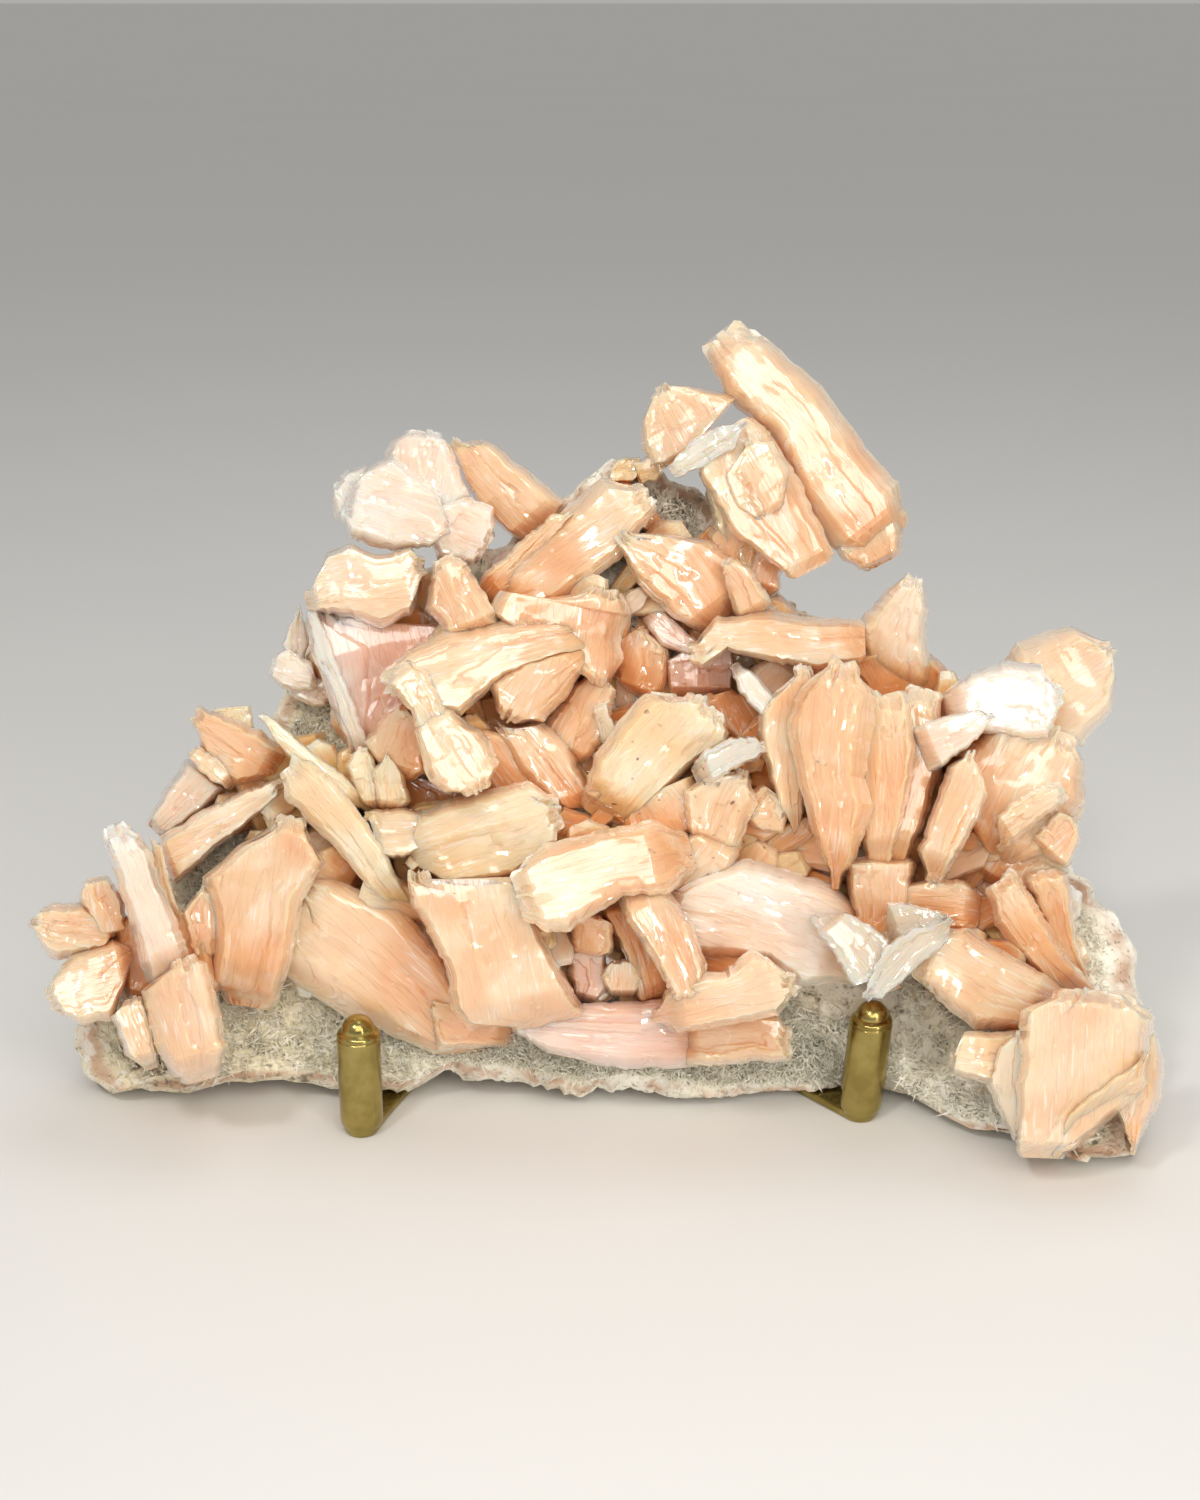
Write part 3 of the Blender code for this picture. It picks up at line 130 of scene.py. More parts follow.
# Crystals: name, direction of growth in degrees, reach at the root and at the tip, how much nearer the right
# edge is than the left one, thickness, shares of the width bevelled on the left and right, and the outline.
CRYSTALS = (
    ("crown_blade", 129, 13, 16, 0, 11, 0.42, 0.40, (705, 363, 705, 341, 739, 324, 759, 328, 788, 354, 822,
     385, 868, 448, 899, 482, 905, 505, 903, 530, 860, 556, 834, 552, 795, 500, 770, 440, 725, 398)),
    ("crown_lobe", 118, 11, 12, 0, 9, 0.30, 0.30, (834, 552, 826, 530, 850, 500, 899, 500, 905, 518, 903, 550,
     891, 560, 873, 569, 858, 571, 841, 562)),
    ("crown_plate", 116, 19, 18, -3, 8, 0.14, 0.30, (754, 416, 771, 431, 805, 487, 834, 552, 817, 569, 802,
     575, 785, 574, 730, 533, 717, 513, 696, 472, 702, 450, 725, 425)),
    ("crown_overgrowth", 120, 21, 20, 2, 4, 0.15, 0.25, (722, 478, 748, 436, 772, 440, 790, 470, 785, 504,
     756, 522, 735, 510)),
    ("crown_block", 118, 15, 15, 2, 11, 0.15, 0.20, (638, 445, 640, 421, 651, 394, 662, 382, 691, 385, 727,
     393, 739, 397, 715, 425, 698, 450, 667, 467, 650, 465)),
    ("crown_clear_plate", 35, 20, 21, -2, 3, 0.10, 0.10, (667, 467, 690, 440, 722, 424, 749, 421, 735, 450,
     705, 468, 680, 479)),
    ("crown_foot", 100, 12, 14, 0, 9, 0.20, 0.20, (700, 470, 745, 470, 765, 520, 740, 560, 712, 530)),
    ("ridge_crumb_left", 170, 6, 5, 0, 6, 0.2, 0.2, (606, 473, 618, 458, 640, 455, 645, 470, 632, 484, 612,
     485)),
    ("ridge_crumb_right", 20, 7, 8, 0, 6, 0.2, 0.2, (632, 462, 655, 452, 668, 466, 658, 482, 640, 486)),
    ("shelf_left", 75, 11, 14, 2, 7, 0.20, 0.20, (704, 535, 724, 518, 750, 522, 762, 545, 750, 585, 728, 590,
     712, 565)),
    ("shelf_right", 70, 11, 13, -3, 8, 0.25, 0.15, (730, 548, 755, 528, 778, 536, 784, 560, 782, 590, 768,
     600, 745, 592)),

    ("rosette_top", 80, 15, 13, 3, 8, 0.2, 0.25, (382, 452, 393, 438, 407, 428, 438, 430, 450, 440, 470, 497,
     440, 520, 398, 490)),
    ("rosette_right", 330, 18, 15, -3, 7, 0.2, 0.25, (436, 505, 468, 495, 494, 507, 496, 526, 491, 545, 472,
     567, 438, 562, 424, 532)),
    ("rosette_heart", 165, 19, 17, 3, 8, 0.25, 0.2, (344, 485, 365, 464, 395, 455, 440, 492, 452, 530, 430,
     548, 390, 553, 348, 539, 336, 515)),
    ("rosette_lobe", 140, 15, 13, 0, 8, 0.3, 0.3, (329, 502, 330, 487, 346, 470, 366, 464, 380, 490, 374, 519,
     350, 528, 334, 519)),
    ("back_blade", 132, 9, 11, 3, 11, 0.15, 0.35, (446, 441, 484, 436, 500, 443, 518, 461, 566, 500, 548, 540,
     525, 548, 494, 524, 468, 495)),
    ("diagonal_blade", 32, 11, 16, 3, 9, 0.38, 0.30, (479, 591, 500, 558, 545, 528, 600, 481, 639, 490, 656,
     508, 618, 557, 560, 600, 510, 612)),
    ("diagonal_slip", 38, 12, 14, -2, 5, 0.3, 0.3, (476, 594, 486, 572, 552, 514, 572, 516, 530, 572, 498,
     604)),
    ("left_block", 12, 21, 20, -2, 12, 0.14, 0.25, (305, 599, 319, 565, 327, 550, 348, 541, 380, 553, 414,
     545, 431, 567, 421, 601, 414, 618, 382, 629, 346, 618, 315, 613)),
    ("left_block_blade", 115, 23, 22, 3, 8, 0.25, 0.30, (434, 568, 448, 557, 465, 559, 477, 579, 494, 612,
     503, 623, 479, 632, 445, 632, 428, 608)),
    ("mauve_plate", 103, 14, 15, -3, 6, 0.10, 0.20, (308, 615, 346, 615, 400, 625, 450, 628, 436, 662, 407,
     702, 368, 745, 356, 762, 335, 705, 316, 655)),
    ("mauve_plate_edge", 105, 16, 17, 2, 4, 0.25, 0.30, (307, 612, 320, 616, 345, 676, 368, 745, 357, 761,
     334, 704, 314, 655)),
    ("silver_blade_top", 100, 9, 12, -3, 5, 0.25, 0.25, (300, 603, 312, 640, 304, 672, 286, 668, 281, 645,
     287, 628)),
    ("silver_blade_mid", 165, 10, 12, 2, 5, 0.25, 0.25, (266, 678, 271, 655, 290, 646, 312, 662, 322, 690,
     300, 694, 282, 690)),
    ("silver_blade_low", 150, 7, 8, 0, 4, 0.25, 0.25, (286, 692, 300, 670, 326, 680, 334, 704, 312, 708)),

    ("long_tongue", 196, 20, 28, -2, 10, 0.20, 0.38, (387, 683, 397, 662, 420, 645, 445, 633, 506, 623, 560,
     622, 600, 628, 590, 650, 540, 662, 500, 680, 462, 712, 430, 706, 400, 694)),
    ("centre_block", 78, 20, 20, -3, 11, 0.18, 0.25, (494, 613, 506, 593, 542, 601, 571, 596, 591, 587, 615,
     591, 627, 613, 618, 642, 621, 657, 600, 691, 582, 672, 535, 645)),
    ("dark_wedge", 238, 23, 22, 4, 9, 0.25, 0.30, (492, 682, 520, 662, 588, 650, 578, 680, 545, 722, 520, 724,
     497, 714)),
    ("club_top", 128, 29, 31, -2, 9, 0.28, 0.30, (388, 684, 396, 668, 408, 660, 430, 674, 442, 703, 462, 722,
     450, 760, 420, 752, 410, 712)),
    ("club_foot", 300, 30, 31, 3, 10, 0.28, 0.25, (417, 733, 425, 708, 450, 708, 486, 738, 498, 764, 486, 786,
     472, 796, 447, 793, 429, 780)),
    ("shadow_face", 70, 18, 20, 4, 9, 0.25, 0.20, (364, 742, 384, 716, 403, 704, 420, 726, 426, 769, 408, 783,
     381, 769)),
    ("brush", 125, 15, 20, 0, 8, 0.35, 0.30, (495, 728, 541, 724, 566, 744, 600, 806, 560, 808, 520, 776)),
    ("thin_plate_left", 62, 14, 17, 3, 5, 0.2, 0.25, (548, 722, 572, 690, 598, 666, 616, 690, 604, 738, 574,
     772, 556, 760)),
    ("thin_plate_right", 118, 16, 19, 2, 3, 0.25, 0.25, (592, 708, 606, 704, 620, 742, 612, 756, 600, 740)),
    ("table_crystal", 52, 22, 25, -2, 10, 0.30, 0.14, (583, 798, 600, 754, 622, 722, 646, 697, 699, 694, 711,
     706, 727, 730, 724, 743, 697, 761, 680, 778, 626, 824, 610, 814)),
    ("table_side", 232, 19, 20, 4, 9, 0.25, 0.25, (585, 797, 612, 770, 660, 780, 690, 790, 650, 826, 622,
     826)),
    ("clear_block", 24, 28, 28, -2, 5, 0.14, 0.20, (693, 766, 707, 749, 731, 738, 753, 736, 767, 751, 755,
     762, 733, 772, 704, 786)),
    ("shatter_left", 125, 20, 22, 2, 8, 0.25, 0.25, (622, 824, 650, 792, 690, 776, 706, 806, 692, 840, 652,
     852, 630, 846)),
    ("shatter_right", 70, 22, 24, -3, 7, 0.20, 0.25, (684, 792, 712, 776, 745, 772, 756, 806, 738, 846, 706,
     852, 690, 830)),
    ("shatter_tail", 240, 23, 22, 2, 7, 0.25, 0.25, (660, 850, 696, 832, 742, 842, 728, 872, 694, 896, 660,
     900, 650, 880)),
    ("tucked_plate", 40, 19, 20, 2, 5, 0.2, 0.2, (738, 802, 762, 784, 788, 803, 782, 832, 756, 830, 740,
     820)),
    ("arm_blade", 182, 17, 22, -3, 9, 0.22, 0.35, (690, 658, 697, 642, 719, 618, 770, 612, 806, 618, 856, 621,
     856, 660, 813, 669, 760, 660, 731, 652, 704, 667)),
    ("upper_plate", 128, 14, 18, -3, 9, 0.25, 0.20, (617, 540, 633, 534, 671, 536, 708, 542, 728, 556, 748,
     590, 737, 616, 705, 632, 676, 617, 640, 582)),
    ("upper_tooth", 118, 18, 19, 3, 6, 0.25, 0.30, (720, 562, 737, 558, 752, 569, 772, 600, 760, 616, 736,
     616)),
    ("rose_plate", 90, 12, 13, 0, 6, 0.1, 0.1, (668, 662, 692, 644, 733, 652, 732, 690, 702, 698, 670, 696)),
    ("mauve_rod", 326, 12, 14, 0, 5, 0.3, 0.3, (640, 618, 652, 610, 668, 613, 698, 640, 692, 656, 660, 646)),
    ("little_white_blade", 300, 22, 24, 2, 4, 0.25, 0.3, (731, 668, 741, 664, 760, 679, 775, 698, 762, 718,
     738, 690)),
    ("gully_left", 70, 10, 12, 2, 6, 0.25, 0.25, (612, 640, 640, 628, 668, 650, 664, 690, 634, 700, 616,
     676)),
    ("gully_right", 120, 11, 14, -2, 6, 0.25, 0.25, (700, 700, 734, 690, 764, 704, 768, 740, 742, 744, 718,
     728)),

    ("steeple", 66, 10, 18, 0, 11, 0.38, 0.30, (853, 624, 879, 594, 908, 571, 925, 582, 930, 608, 927, 640,
     934, 668, 930, 692, 880, 692, 860, 668)),
    ("steeple_foot", 110, 8, 12, 0, 9, 0.2, 0.2, (846, 668, 870, 650, 930, 655, 950, 676, 944, 700, 880,
     706)),
    ("ridge_back", 92, 21, 24, -3, 9, 0.25, 0.30, (757, 720, 770, 700, 789, 679, 808, 667, 826, 700, 812, 770,
     796, 834, 776, 792, 762, 752)),
    ("ridge_front", 84, 27, 30, 3, 10, 0.25, 0.40, (789, 730, 801, 696, 840, 662, 857, 674, 876, 696, 870,
     740, 864, 778, 872, 802, 855, 850, 836, 878, 812, 820)),
    ("ridge_fan_left", 94, 24, 25, 4, 9, 0.3, 0.2, (856, 706, 880, 694, 908, 694, 916, 750, 905, 810, 890,
     866, 868, 866, 856, 800)),
    ("ridge_fan_right", 74, 23, 22, 0, 9, 0.2, 0.3, (892, 698, 925, 690, 942, 706, 944, 760, 924, 820, 902,
     868, 884, 850, 886, 770)),
    ("pearl_blade", 16, 21, 25, 2, 9, 0.30, 0.25, (935, 695, 970, 672, 1005, 658, 1044, 662, 1071, 697, 1064,
     716, 1048, 741, 1029, 742, 980, 734, 940, 722)),
    ("stepped_back", 32, 13, 18, 2, 11, 0.30, 0.20, (1002, 662, 1015, 642, 1044, 630, 1072, 625, 1097, 636,
     1114, 643, 1119, 682, 1113, 711, 1082, 748, 1050, 742, 1020, 700)),
    ("white_leaf", 24, 27, 29, 0, 4, 0.2, 0.2, (915, 728, 940, 718, 976, 710, 992, 717, 980, 736, 958, 755,
     931, 773, 919, 752)),
    ("right_body", 62, 19, 22, 2, 11, 0.25, 0.25, (958, 752, 990, 728, 1040, 722, 1068, 736, 1082, 764, 1080,
     802, 1044, 850, 1000, 864, 972, 820)),
    ("striated_leaf", 66, 27, 30, 2, 10, 0.30, 0.25, (948, 768, 970, 750, 982, 775, 987, 797, 978, 820, 942,
     881, 928, 868, 919, 846)),
    ("right_wedge", 30, 25, 27, -3, 6, 0.2, 0.3, (999, 815, 1023, 795, 1056, 780, 1065, 803, 1033, 826, 1003,
     851)),
    ("right_cube", 48, 21, 22, -2, 9, 0.18, 0.18, (1024, 843, 1056, 809, 1081, 819, 1082, 846, 1068, 869,
     1043, 860)),
    ("right_edge_blade", 84, 14, 16, -3, 8, 0.25, 0.25, (1054, 742, 1076, 738, 1082, 780, 1087, 801, 1082,
     826, 1062, 830, 1052, 790)),
    ("right_root", 60, 14, 18, 0, 9, 0.2, 0.2, (975, 850, 1010, 836, 1060, 850, 1066, 872, 1030, 892, 985,
     884)),

    ("ledge_blade", 152, 13, 18, 3, 8, 0.30, 0.25, (187, 720, 196, 702, 230, 716, 264, 730, 292, 754, 282,
     778, 257, 782, 230, 790, 205, 764)),
    ("ledge_broken_plate", 140, 16, 17, -2, 4, 0.2, 0.2, (184, 754, 200, 742, 222, 758, 236, 782, 230, 792,
     206, 778)),
    ("ledge_back_plate", 120, 11, 13, 0, 5, 0.2, 0.2, (210, 708, 230, 706, 252, 704, 256, 728, 236, 740, 216,
     726)),
    ("glass_blade", 232, 13, 11, 0, 11, 0.25, 0.30, (144, 823, 160, 793, 184, 758, 206, 770, 226, 792, 206,
     812, 162, 840)),
    ("left_spear", 112, 26, 31, 0, 9, 0.36, 0.36, (101, 836, 110, 822, 122, 820, 141, 831, 153, 853, 168, 896,
     190, 950, 186, 976, 168, 990, 146, 986, 129, 925, 114, 877)),
    ("left_boot", 104, 27, 29, 3, 10, 0.30, 0.30, (144, 993, 168, 972, 190, 959, 206, 967, 218, 1010, 226,
     1042, 219, 1066, 196, 1077, 173, 1073, 156, 1047)),
    ("left_heel", 110, 23, 25, -2, 12, 0.25, 0.25, (112, 1015, 128, 1000, 145, 998, 158, 1040, 159, 1059, 146,
     1068, 127, 1055)),
    ("left_stub", 100, 20, 22, -2, 9, 0.2, 0.25, (76, 898, 83, 876, 110, 872, 124, 895, 130, 928, 102, 940)),
    ("left_tip", 172, 20, 22, 2, 11, 0.30, 0.30, (26, 922, 37, 908, 51, 902, 84, 900, 118, 926, 104, 952, 56,
     963, 40, 950)),
    ("left_fist", 194, 21, 24, -3, 10, 0.25, 0.30, (43, 992, 51, 974, 78, 947, 112, 937, 138, 947, 122, 998,
     112, 1022, 81, 1026, 56, 1016)),
    ("left_sliver", 100, 22, 24, 2, 4, 0.25, 0.25, (150, 836, 163, 843, 172, 882, 184, 920, 168, 916, 154,
     880)),
    ("left_core", 80, 16, 19, 0, 10, 0.2, 0.2, (112, 930, 150, 900, 205, 925, 220, 985, 180, 1020, 130,
     1010)),
    ("sparkle_blade", 22, 16, 19, -2, 12, 0.30, 0.22, (164, 834, 206, 808, 250, 788, 280, 778, 276, 800, 240,
     830, 180, 880, 167, 868)),
    ("left_keystone", 80, 20, 26, 2, 13, 0.25, 0.25, (206, 880, 240, 848, 276, 825, 298, 820, 322, 866, 300,
     902, 292, 951, 276, 997, 247, 998, 213, 975, 216, 914)),
    ("keystone_side", 95, 17, 20, -2, 8, 0.2, 0.2, (182, 914, 206, 886, 222, 904, 222, 960, 206, 970, 188,
     946)),
    ("lath_front", 128, 21, 25, 3, 5, 0.30, 0.25, (280, 770, 296, 760, 312, 764, 340, 786, 360, 815, 380, 844,
     402, 888, 394, 906, 372, 892, 344, 856, 314, 826, 286, 798)),
    ("lath_back", 146, 17, 20, 0, 3, 0.25, 0.25, (261, 718, 272, 718, 300, 740, 340, 772, 374, 802, 366, 812,
     320, 786, 280, 748)),
    ("feather_left", 96, 16, 18, 0, 5, 0.25, 0.25, (346, 768, 354, 752, 368, 746, 384, 786, 380, 812, 360,
     800)),
    ("feather_right", 80, 17, 19, 0, 5, 0.25, 0.25, (372, 772, 388, 752, 404, 776, 410, 800, 396, 814, 378,
     806)),
    ("sideways_block", 178, 20, 21, -3, 9, 0.15, 0.25, (366, 811, 400, 808, 436, 811, 453, 824, 440, 842, 402,
     858, 382, 855)),
    ("hollow_back", 90, 8, 10, 0, 7, 0.2, 0.2, (380, 770, 430, 780, 470, 795, 480, 830, 420, 840, 384, 820)),

    ("cream_mass", 20, 22, 26, -2, 12, 0.25, 0.2, (407, 856, 426, 812, 475, 794, 525, 784, 556, 806, 556, 842,
     513, 876, 453, 884)),
    ("front_block", 102, 26, 30, -2, 15, 0.14, 0.16, (409, 876, 440, 881, 480, 880, 516, 879, 525, 888, 540,
     939, 582, 1012, 550, 1022, 465, 1018, 453, 1002, 450, 968, 418, 908)),
    ("long_slope", 138, 13, 18, 4, 9, 0.36, 0.32, (284, 968, 290, 920, 298, 878, 339, 885, 402, 912, 430, 946,
     458, 995, 492, 1031, 477, 1047, 431, 1048, 344, 1012, 310, 988)),
    ("slope_foot", 150, 13, 15, 0, 7, 0.25, 0.25, (430, 1000, 470, 1000, 520, 1020, 500, 1046, 440, 1049)),
    ("overhang", 196, 31, 35, -2, 9, 0.30, 0.30, (516, 876, 537, 852, 550, 845, 617, 830, 647, 823, 671, 835,
     685, 854, 683, 876, 664, 893, 622, 896, 591, 915, 574, 928, 547, 928, 533, 915)),
    ("leg", 292, 30, 30, 3, 10, 0.30, 0.25, (620, 890, 664, 888, 692, 925, 704, 962, 704, 1000, 676, 1004,
     655, 962, 628, 925)),
    ("foot", 16, 28, 32, -3, 11, 0.30, 0.20, (660, 1016, 670, 990, 702, 973, 724, 972, 750, 951, 772, 961,
     795, 982, 791, 998, 778, 1015, 732, 1022, 686, 1031)),
    ("cave_striated", 75, 17, 19, 0, 7, 0.3, 0.25, (567, 955, 588, 948, 606, 956, 608, 990, 592, 1006, 574,
     996)),
    ("cave_hexagon", 90, 19, 21, 0, 8, 0.18, 0.18, (600, 976, 612, 960, 632, 960, 644, 978, 634, 997, 610,
     997)),
    ("cave_block", 80, 20, 23, 2, 7, 0.2, 0.2, (570, 922, 590, 914, 612, 922, 612, 952, 592, 960, 574, 952)),
    ("cave_wall", 100, 18, 21, -2, 9, 0.2, 0.2, (600, 905, 636, 900, 660, 940, 672, 1000, 640, 1004, 622,
     950)),
    ("low_mauve_blade", 176, 16, 20, 3, 8, 0.30, 0.36, (498, 1000, 540, 1010, 600, 1004, 660, 1000, 716, 1008,
     712, 1048, 690, 1066, 620, 1066, 560, 1054, 516, 1034)),
    ("low_pale_blade", 4, 16, 18, 0, 7, 0.28, 0.30, (676, 1020, 740, 1012, 776, 1014, 790, 1036, 786, 1060,
     730, 1064, 680, 1064)),
    ("pearl_slab", 163, 19, 24, 2, 10, 0.20, 0.30, (667, 896, 700, 880, 750, 863, 790, 874, 831, 888, 849,
     906, 852, 984, 837, 978, 796, 982, 766, 959, 702, 953, 674, 930)),
    ("ice_plate_left", 310, 29, 30, 2, 3, 0.1, 0.1, (812, 922, 846, 914, 870, 925, 887, 940, 888, 972, 854,
     984)),
    ("ice_plate_front", 232, 31, 30, 2, 3, 0.1, 0.1, (886, 946, 912, 930, 948, 922, 946, 942, 910, 975, 884,
     997, 864, 994)),
    ("ice_plate_back", 20, 27, 26, 0, 3, 0.1, 0.1, (888, 902, 912, 904, 940, 911, 949, 922, 916, 951, 890,
     940)),
    ("fan_root", 90, 19, 22, 0, 10, 0.2, 0.2, (846, 862, 880, 856, 916, 862, 908, 910, 880, 948, 856, 930)),
    ("right_shelf", 174, 18, 20, 2, 8, 0.25, 0.2, (890, 890, 930, 879, 962, 882, 984, 898, 980, 928, 940, 932,
     902, 918)),
    ("right_beam", 152, 22, 27, 0, 10, 0.34, 0.34, (913, 976, 930, 950, 950, 929, 967, 931, 1010, 956, 1067,
     990, 1050, 1012, 1016, 1029, 996, 1027, 974, 1026, 940, 1000)),
    ("amber_brush", 124, 18, 23, 2, 8, 0.35, 0.30, (986, 891, 1002, 876, 1018, 873, 1036, 905, 1062, 946,
     1094, 987, 1066, 994, 1030, 966, 998, 927)),
    ("amber_blade", 102, 15, 20, 2, 7, 0.30, 0.30, (1026, 882, 1047, 872, 1067, 876, 1073, 900, 1078, 946,
     1090, 978, 1070, 972, 1048, 936)),
    ("corner_block", 88, 31, 37, -3, 14, 0.16, 0.22, (1020, 1140, 1019, 1090, 1022, 1040, 1026, 1012, 1066,
     994, 1085, 992, 1127, 997, 1149, 1016, 1146, 1050, 1138, 1092, 1100, 1122, 1056, 1150)),
    ("corner_side", 84, 27, 32, 3, 10, 0.30, 0.20, (986, 1084, 998, 1048, 1022, 1030, 1032, 1080, 1042, 1148,
     1013, 1136)),
    ("corner_lobe", 60, 29, 35, -5, 9, 0.30, 0.30, (1056, 1152, 1066, 1112, 1104, 1084, 1142, 1056, 1144,
     1088, 1104, 1124, 1078, 1148)),
    ("corner_heel", 170, 27, 30, 0, 11, 0.25, 0.25, (950, 1060, 964, 1032, 1018, 1032, 1020, 1062, 988, 1084,
     954, 1073)),
    ("corner_wing", 78, 27, 29, -3, 13, 0.25, 0.35, (1112, 1110, 1116, 1062, 1142, 1030, 1146, 1006, 1154,
     1021, 1164, 1052, 1168, 1078, 1163, 1102, 1148, 1131, 1134, 1156)),
)

# Small crystals that fill the hollows between the big ones
UNDER_SEED = 11
UNDER_ACROSS = (110, 1110)             # the grid's picture x and y, its step and how far a place strays
UNDER_DOWN = (450, 985)
UNDER_STEP = 30
UNDER_JITTER = 13
UNDER_FOCUS = (600.0, 880.0)
UNDER_COVER = 2.4
UNDER_OUTLINE = ((-0.5, -0.3), (-0.5, 0.3), (0.3, 0.5), (0.5, 0.2), (0.5, -0.25), (0.25, -0.5))
BARE_PLACES = (        # middle, half width and half height of the parts of the slab that show bare
    (314, 725, 32, 30), (685, 508, 36, 30), (1105, 930, 40, 75), (150, 950, 90, 120), (800, 1010, 50, 30),
    (356, 925, 25, 22), (290, 1000, 34, 24),
)

# How a crystal's prominence over its surroundings is measured, in millimetres
PROUD_CELL = 0.6
PROUD_STEPS = 24           # cells that the blur reaches to either side
PROUD_BLUR = 4.5
PROUD_RANGE = 7.0
PROUD_FLOOR = 4.0

# How finely crystals that overlap in the picture plane are told apart: cell in millimetres, cells a side
GROUP_CELL = 1.5
GROUP_CELLS = 160

# Mesh density: stations along a crystal, columns on the six sides of its section, and the slab's rings
STATIONS = 42
COLUMNS = (11, 18, 11, 4, 5, 4)
SMALL_STATIONS = 18
SMALL_COLUMNS = (5, 8, 5, 2, 3, 2)
SLAB_TURNS = 460
SLAB_FRONT = 84
SLAB_RIM = 11
SLAB_BUMPS = ((0.9, 0.17, 902), (0.7, 0.5, 903), (0.5, 1.25, 904), (0.25, 2.6, 906))   # height, scale, seed
SLAB_BACK = 40
NEEDLES = 40000

# Finishes of the crystals: tip, body and root colour, roughness and share of clear transmission. The root
# colour is also painted into the hollows as shade, and the tip colour onto proud parts and thin edges as
# light
FINISHES = {
    "peach": ((0.90, 0.71, 0.50), (0.85, 0.54, 0.31), (0.80, 0.35, 0.13), 0.30, 0.0),
    "pale": ((0.92, 0.78, 0.62), (0.89, 0.65, 0.44), (0.84, 0.48, 0.22), 0.28, 0.0),
    "deep": ((0.87, 0.60, 0.38), (0.85, 0.51, 0.27), (0.77, 0.29, 0.08), 0.32, 0.0),
    "pearl": ((0.95, 0.85, 0.76), (0.92, 0.74, 0.61), (0.87, 0.58, 0.39), 0.20, 0.0),
    "mauve": ((0.89, 0.70, 0.61), (0.84, 0.57, 0.46), (0.76, 0.40, 0.26), 0.24, 0.0),
    "cream": ((0.92, 0.79, 0.59), (0.89, 0.68, 0.42), (0.85, 0.51, 0.21), 0.30, 0.0),
    "clear": ((0.96, 0.88, 0.79), (0.94, 0.81, 0.67), (0.90, 0.68, 0.47), 0.12, 0.25),
}
FINISHED = {
    "mauve": "mauve_plate mauve_rod rose_plate low_mauve_blade cave_striated",
    "pearl": ("mauve_plate_edge rosette_top rosette_right rosette_heart rosette_lobe silver_blade_top "
             "silver_blade_mid silver_blade_low pearl_blade pearl_slab white_leaf little_white_blade "
             "left_spear glass_blade"),
    "clear": "ice_plate_left ice_plate_front ice_plate_back crown_clear_plate clear_block",
    "cream": ("cream_mass table_crystal ledge_back_plate crown_foot feather_left feather_right lath_front "
             "lath_back ridge_crumb_left ridge_crumb_right"),
    "deep": "amber_brush amber_blade dark_wedge table_side ridge_front ledge_blade corner_lobe",
    "pale": "corner_side steeple sparkle_blade left_block stepped_back striated_leaf thin_plate_right",
}
FINISH_OF = {name: kind for kind, names in FINISHED.items() for name in names.split()}

# The viewer's directions and the middle of the picture plane, in world axes
RIGHTWARD = np.array((1.0, 0.0, 0.0))
FORWARD = np.array((0.0, math.cos(LOOK_DOWN), -math.sin(LOOK_DOWN)))
UPWARD = np.array((0.0, math.sin(LOOK_DOWN), math.cos(LOOK_DOWN)))
MIDDLE = np.array((0.0, 0.0, TABLE_DROP))


def in_plane(places):
    """Picture places (x, y) as millimetres right of and above the picture's centre."""
    places = np.asarray(places, float)
    return np.stack(((places[..., 0] - PICTURE_CENTRE[0]) * SCALE,
                     (PICTURE_CENTRE[1] - places[..., 1]) * SCALE), axis=-1)


def in_space(right, up, reach):
    """Millimetres in the picture plane and a reach as world millimetres: a point that reaches towards the
    viewer by r keeps its place in the picture when its offset shrinks by r / VIEW_DISTANCE."""
    closer = (1.0 - reach / VIEW_DISTANCE)[..., None]
    return (MIDDLE - reach[..., None] * FORWARD
            + (right[..., None] * RIGHTWARD + up[..., None] * UPWARD) * closer)


def in_picture(right, up):
    """Picture places x and y of points given in millimetres right of and above the picture's centre."""
    return right / SCALE + PICTURE_CENTRE[0], PICTURE_CENTRE[1] - up / SCALE


def table_place(place):
    """Where the line of sight through a picture place meets the table, in world millimetres."""
    right, up = in_plane(place)
    slope = math.cos(LOOK_DOWN) * up
    reach = -(TABLE_DROP + slope) / (math.sin(LOOK_DOWN) - slope / VIEW_DISTANCE)
    return in_space(np.array([right]), np.array([up]), np.array([reach]))[0]


def measured_shift():
    """How far the solids were moved to centre them, from the box of the stand, in millimetres."""
    low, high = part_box("brass_stand")
    foot = table_place(LEFT_PEG)
    return np.array((low.x / MM - (foot[0] - PEG_RADIUS),
                     high.y / MM - (HUB_PLACE[1] + REAR_FOOT_LENGTH), 0.0))


SHIFT = measured_shift()
MIDDLE = MIDDLE + SHIFT
SPECK_CENTRE = (*in_plane((700, 775)), 20.0)       # right, up and reach of the dark specks
SPECK_SPREAD = 11.0


def smooth(share):
    """Clipped to 0..1 and eased at both ends: 3 x^2 - 2 x^3."""
    share = np.clip(share, 0.0, 1.0)
    return share * share * (3.0 - 2.0 * share)


def noise(points, seed):
    """Random values from -1 to 1 on a lattice of whole numbers, blended between its corners by smooth()."""
    cell = np.floor(points).astype(np.int64)
    part = smooth(points - cell)
    total = np.zeros(points.shape[:-1])
    for corner in np.ndindex(2, 2, 2):
        at = cell + np.array(corner)
        mixed = at[..., 0] * 73856093 ^ at[..., 1] * 19349663 ^ at[..., 2] * 83492791 ^ (seed * 40503 + 977)
        mixed = (mixed ^ (mixed >> 13)) * 1274126177 & 0xffffffff
        mixed = (mixed ^ (mixed >> 16)) * 668265263 & 0xffffffff
        value = ((mixed >> 8) % 65536) / 32767.5 - 1.0
        total += value * np.prod(np.where(np.array(corner) == 1, part, 1.0 - part), axis=-1)
    return total


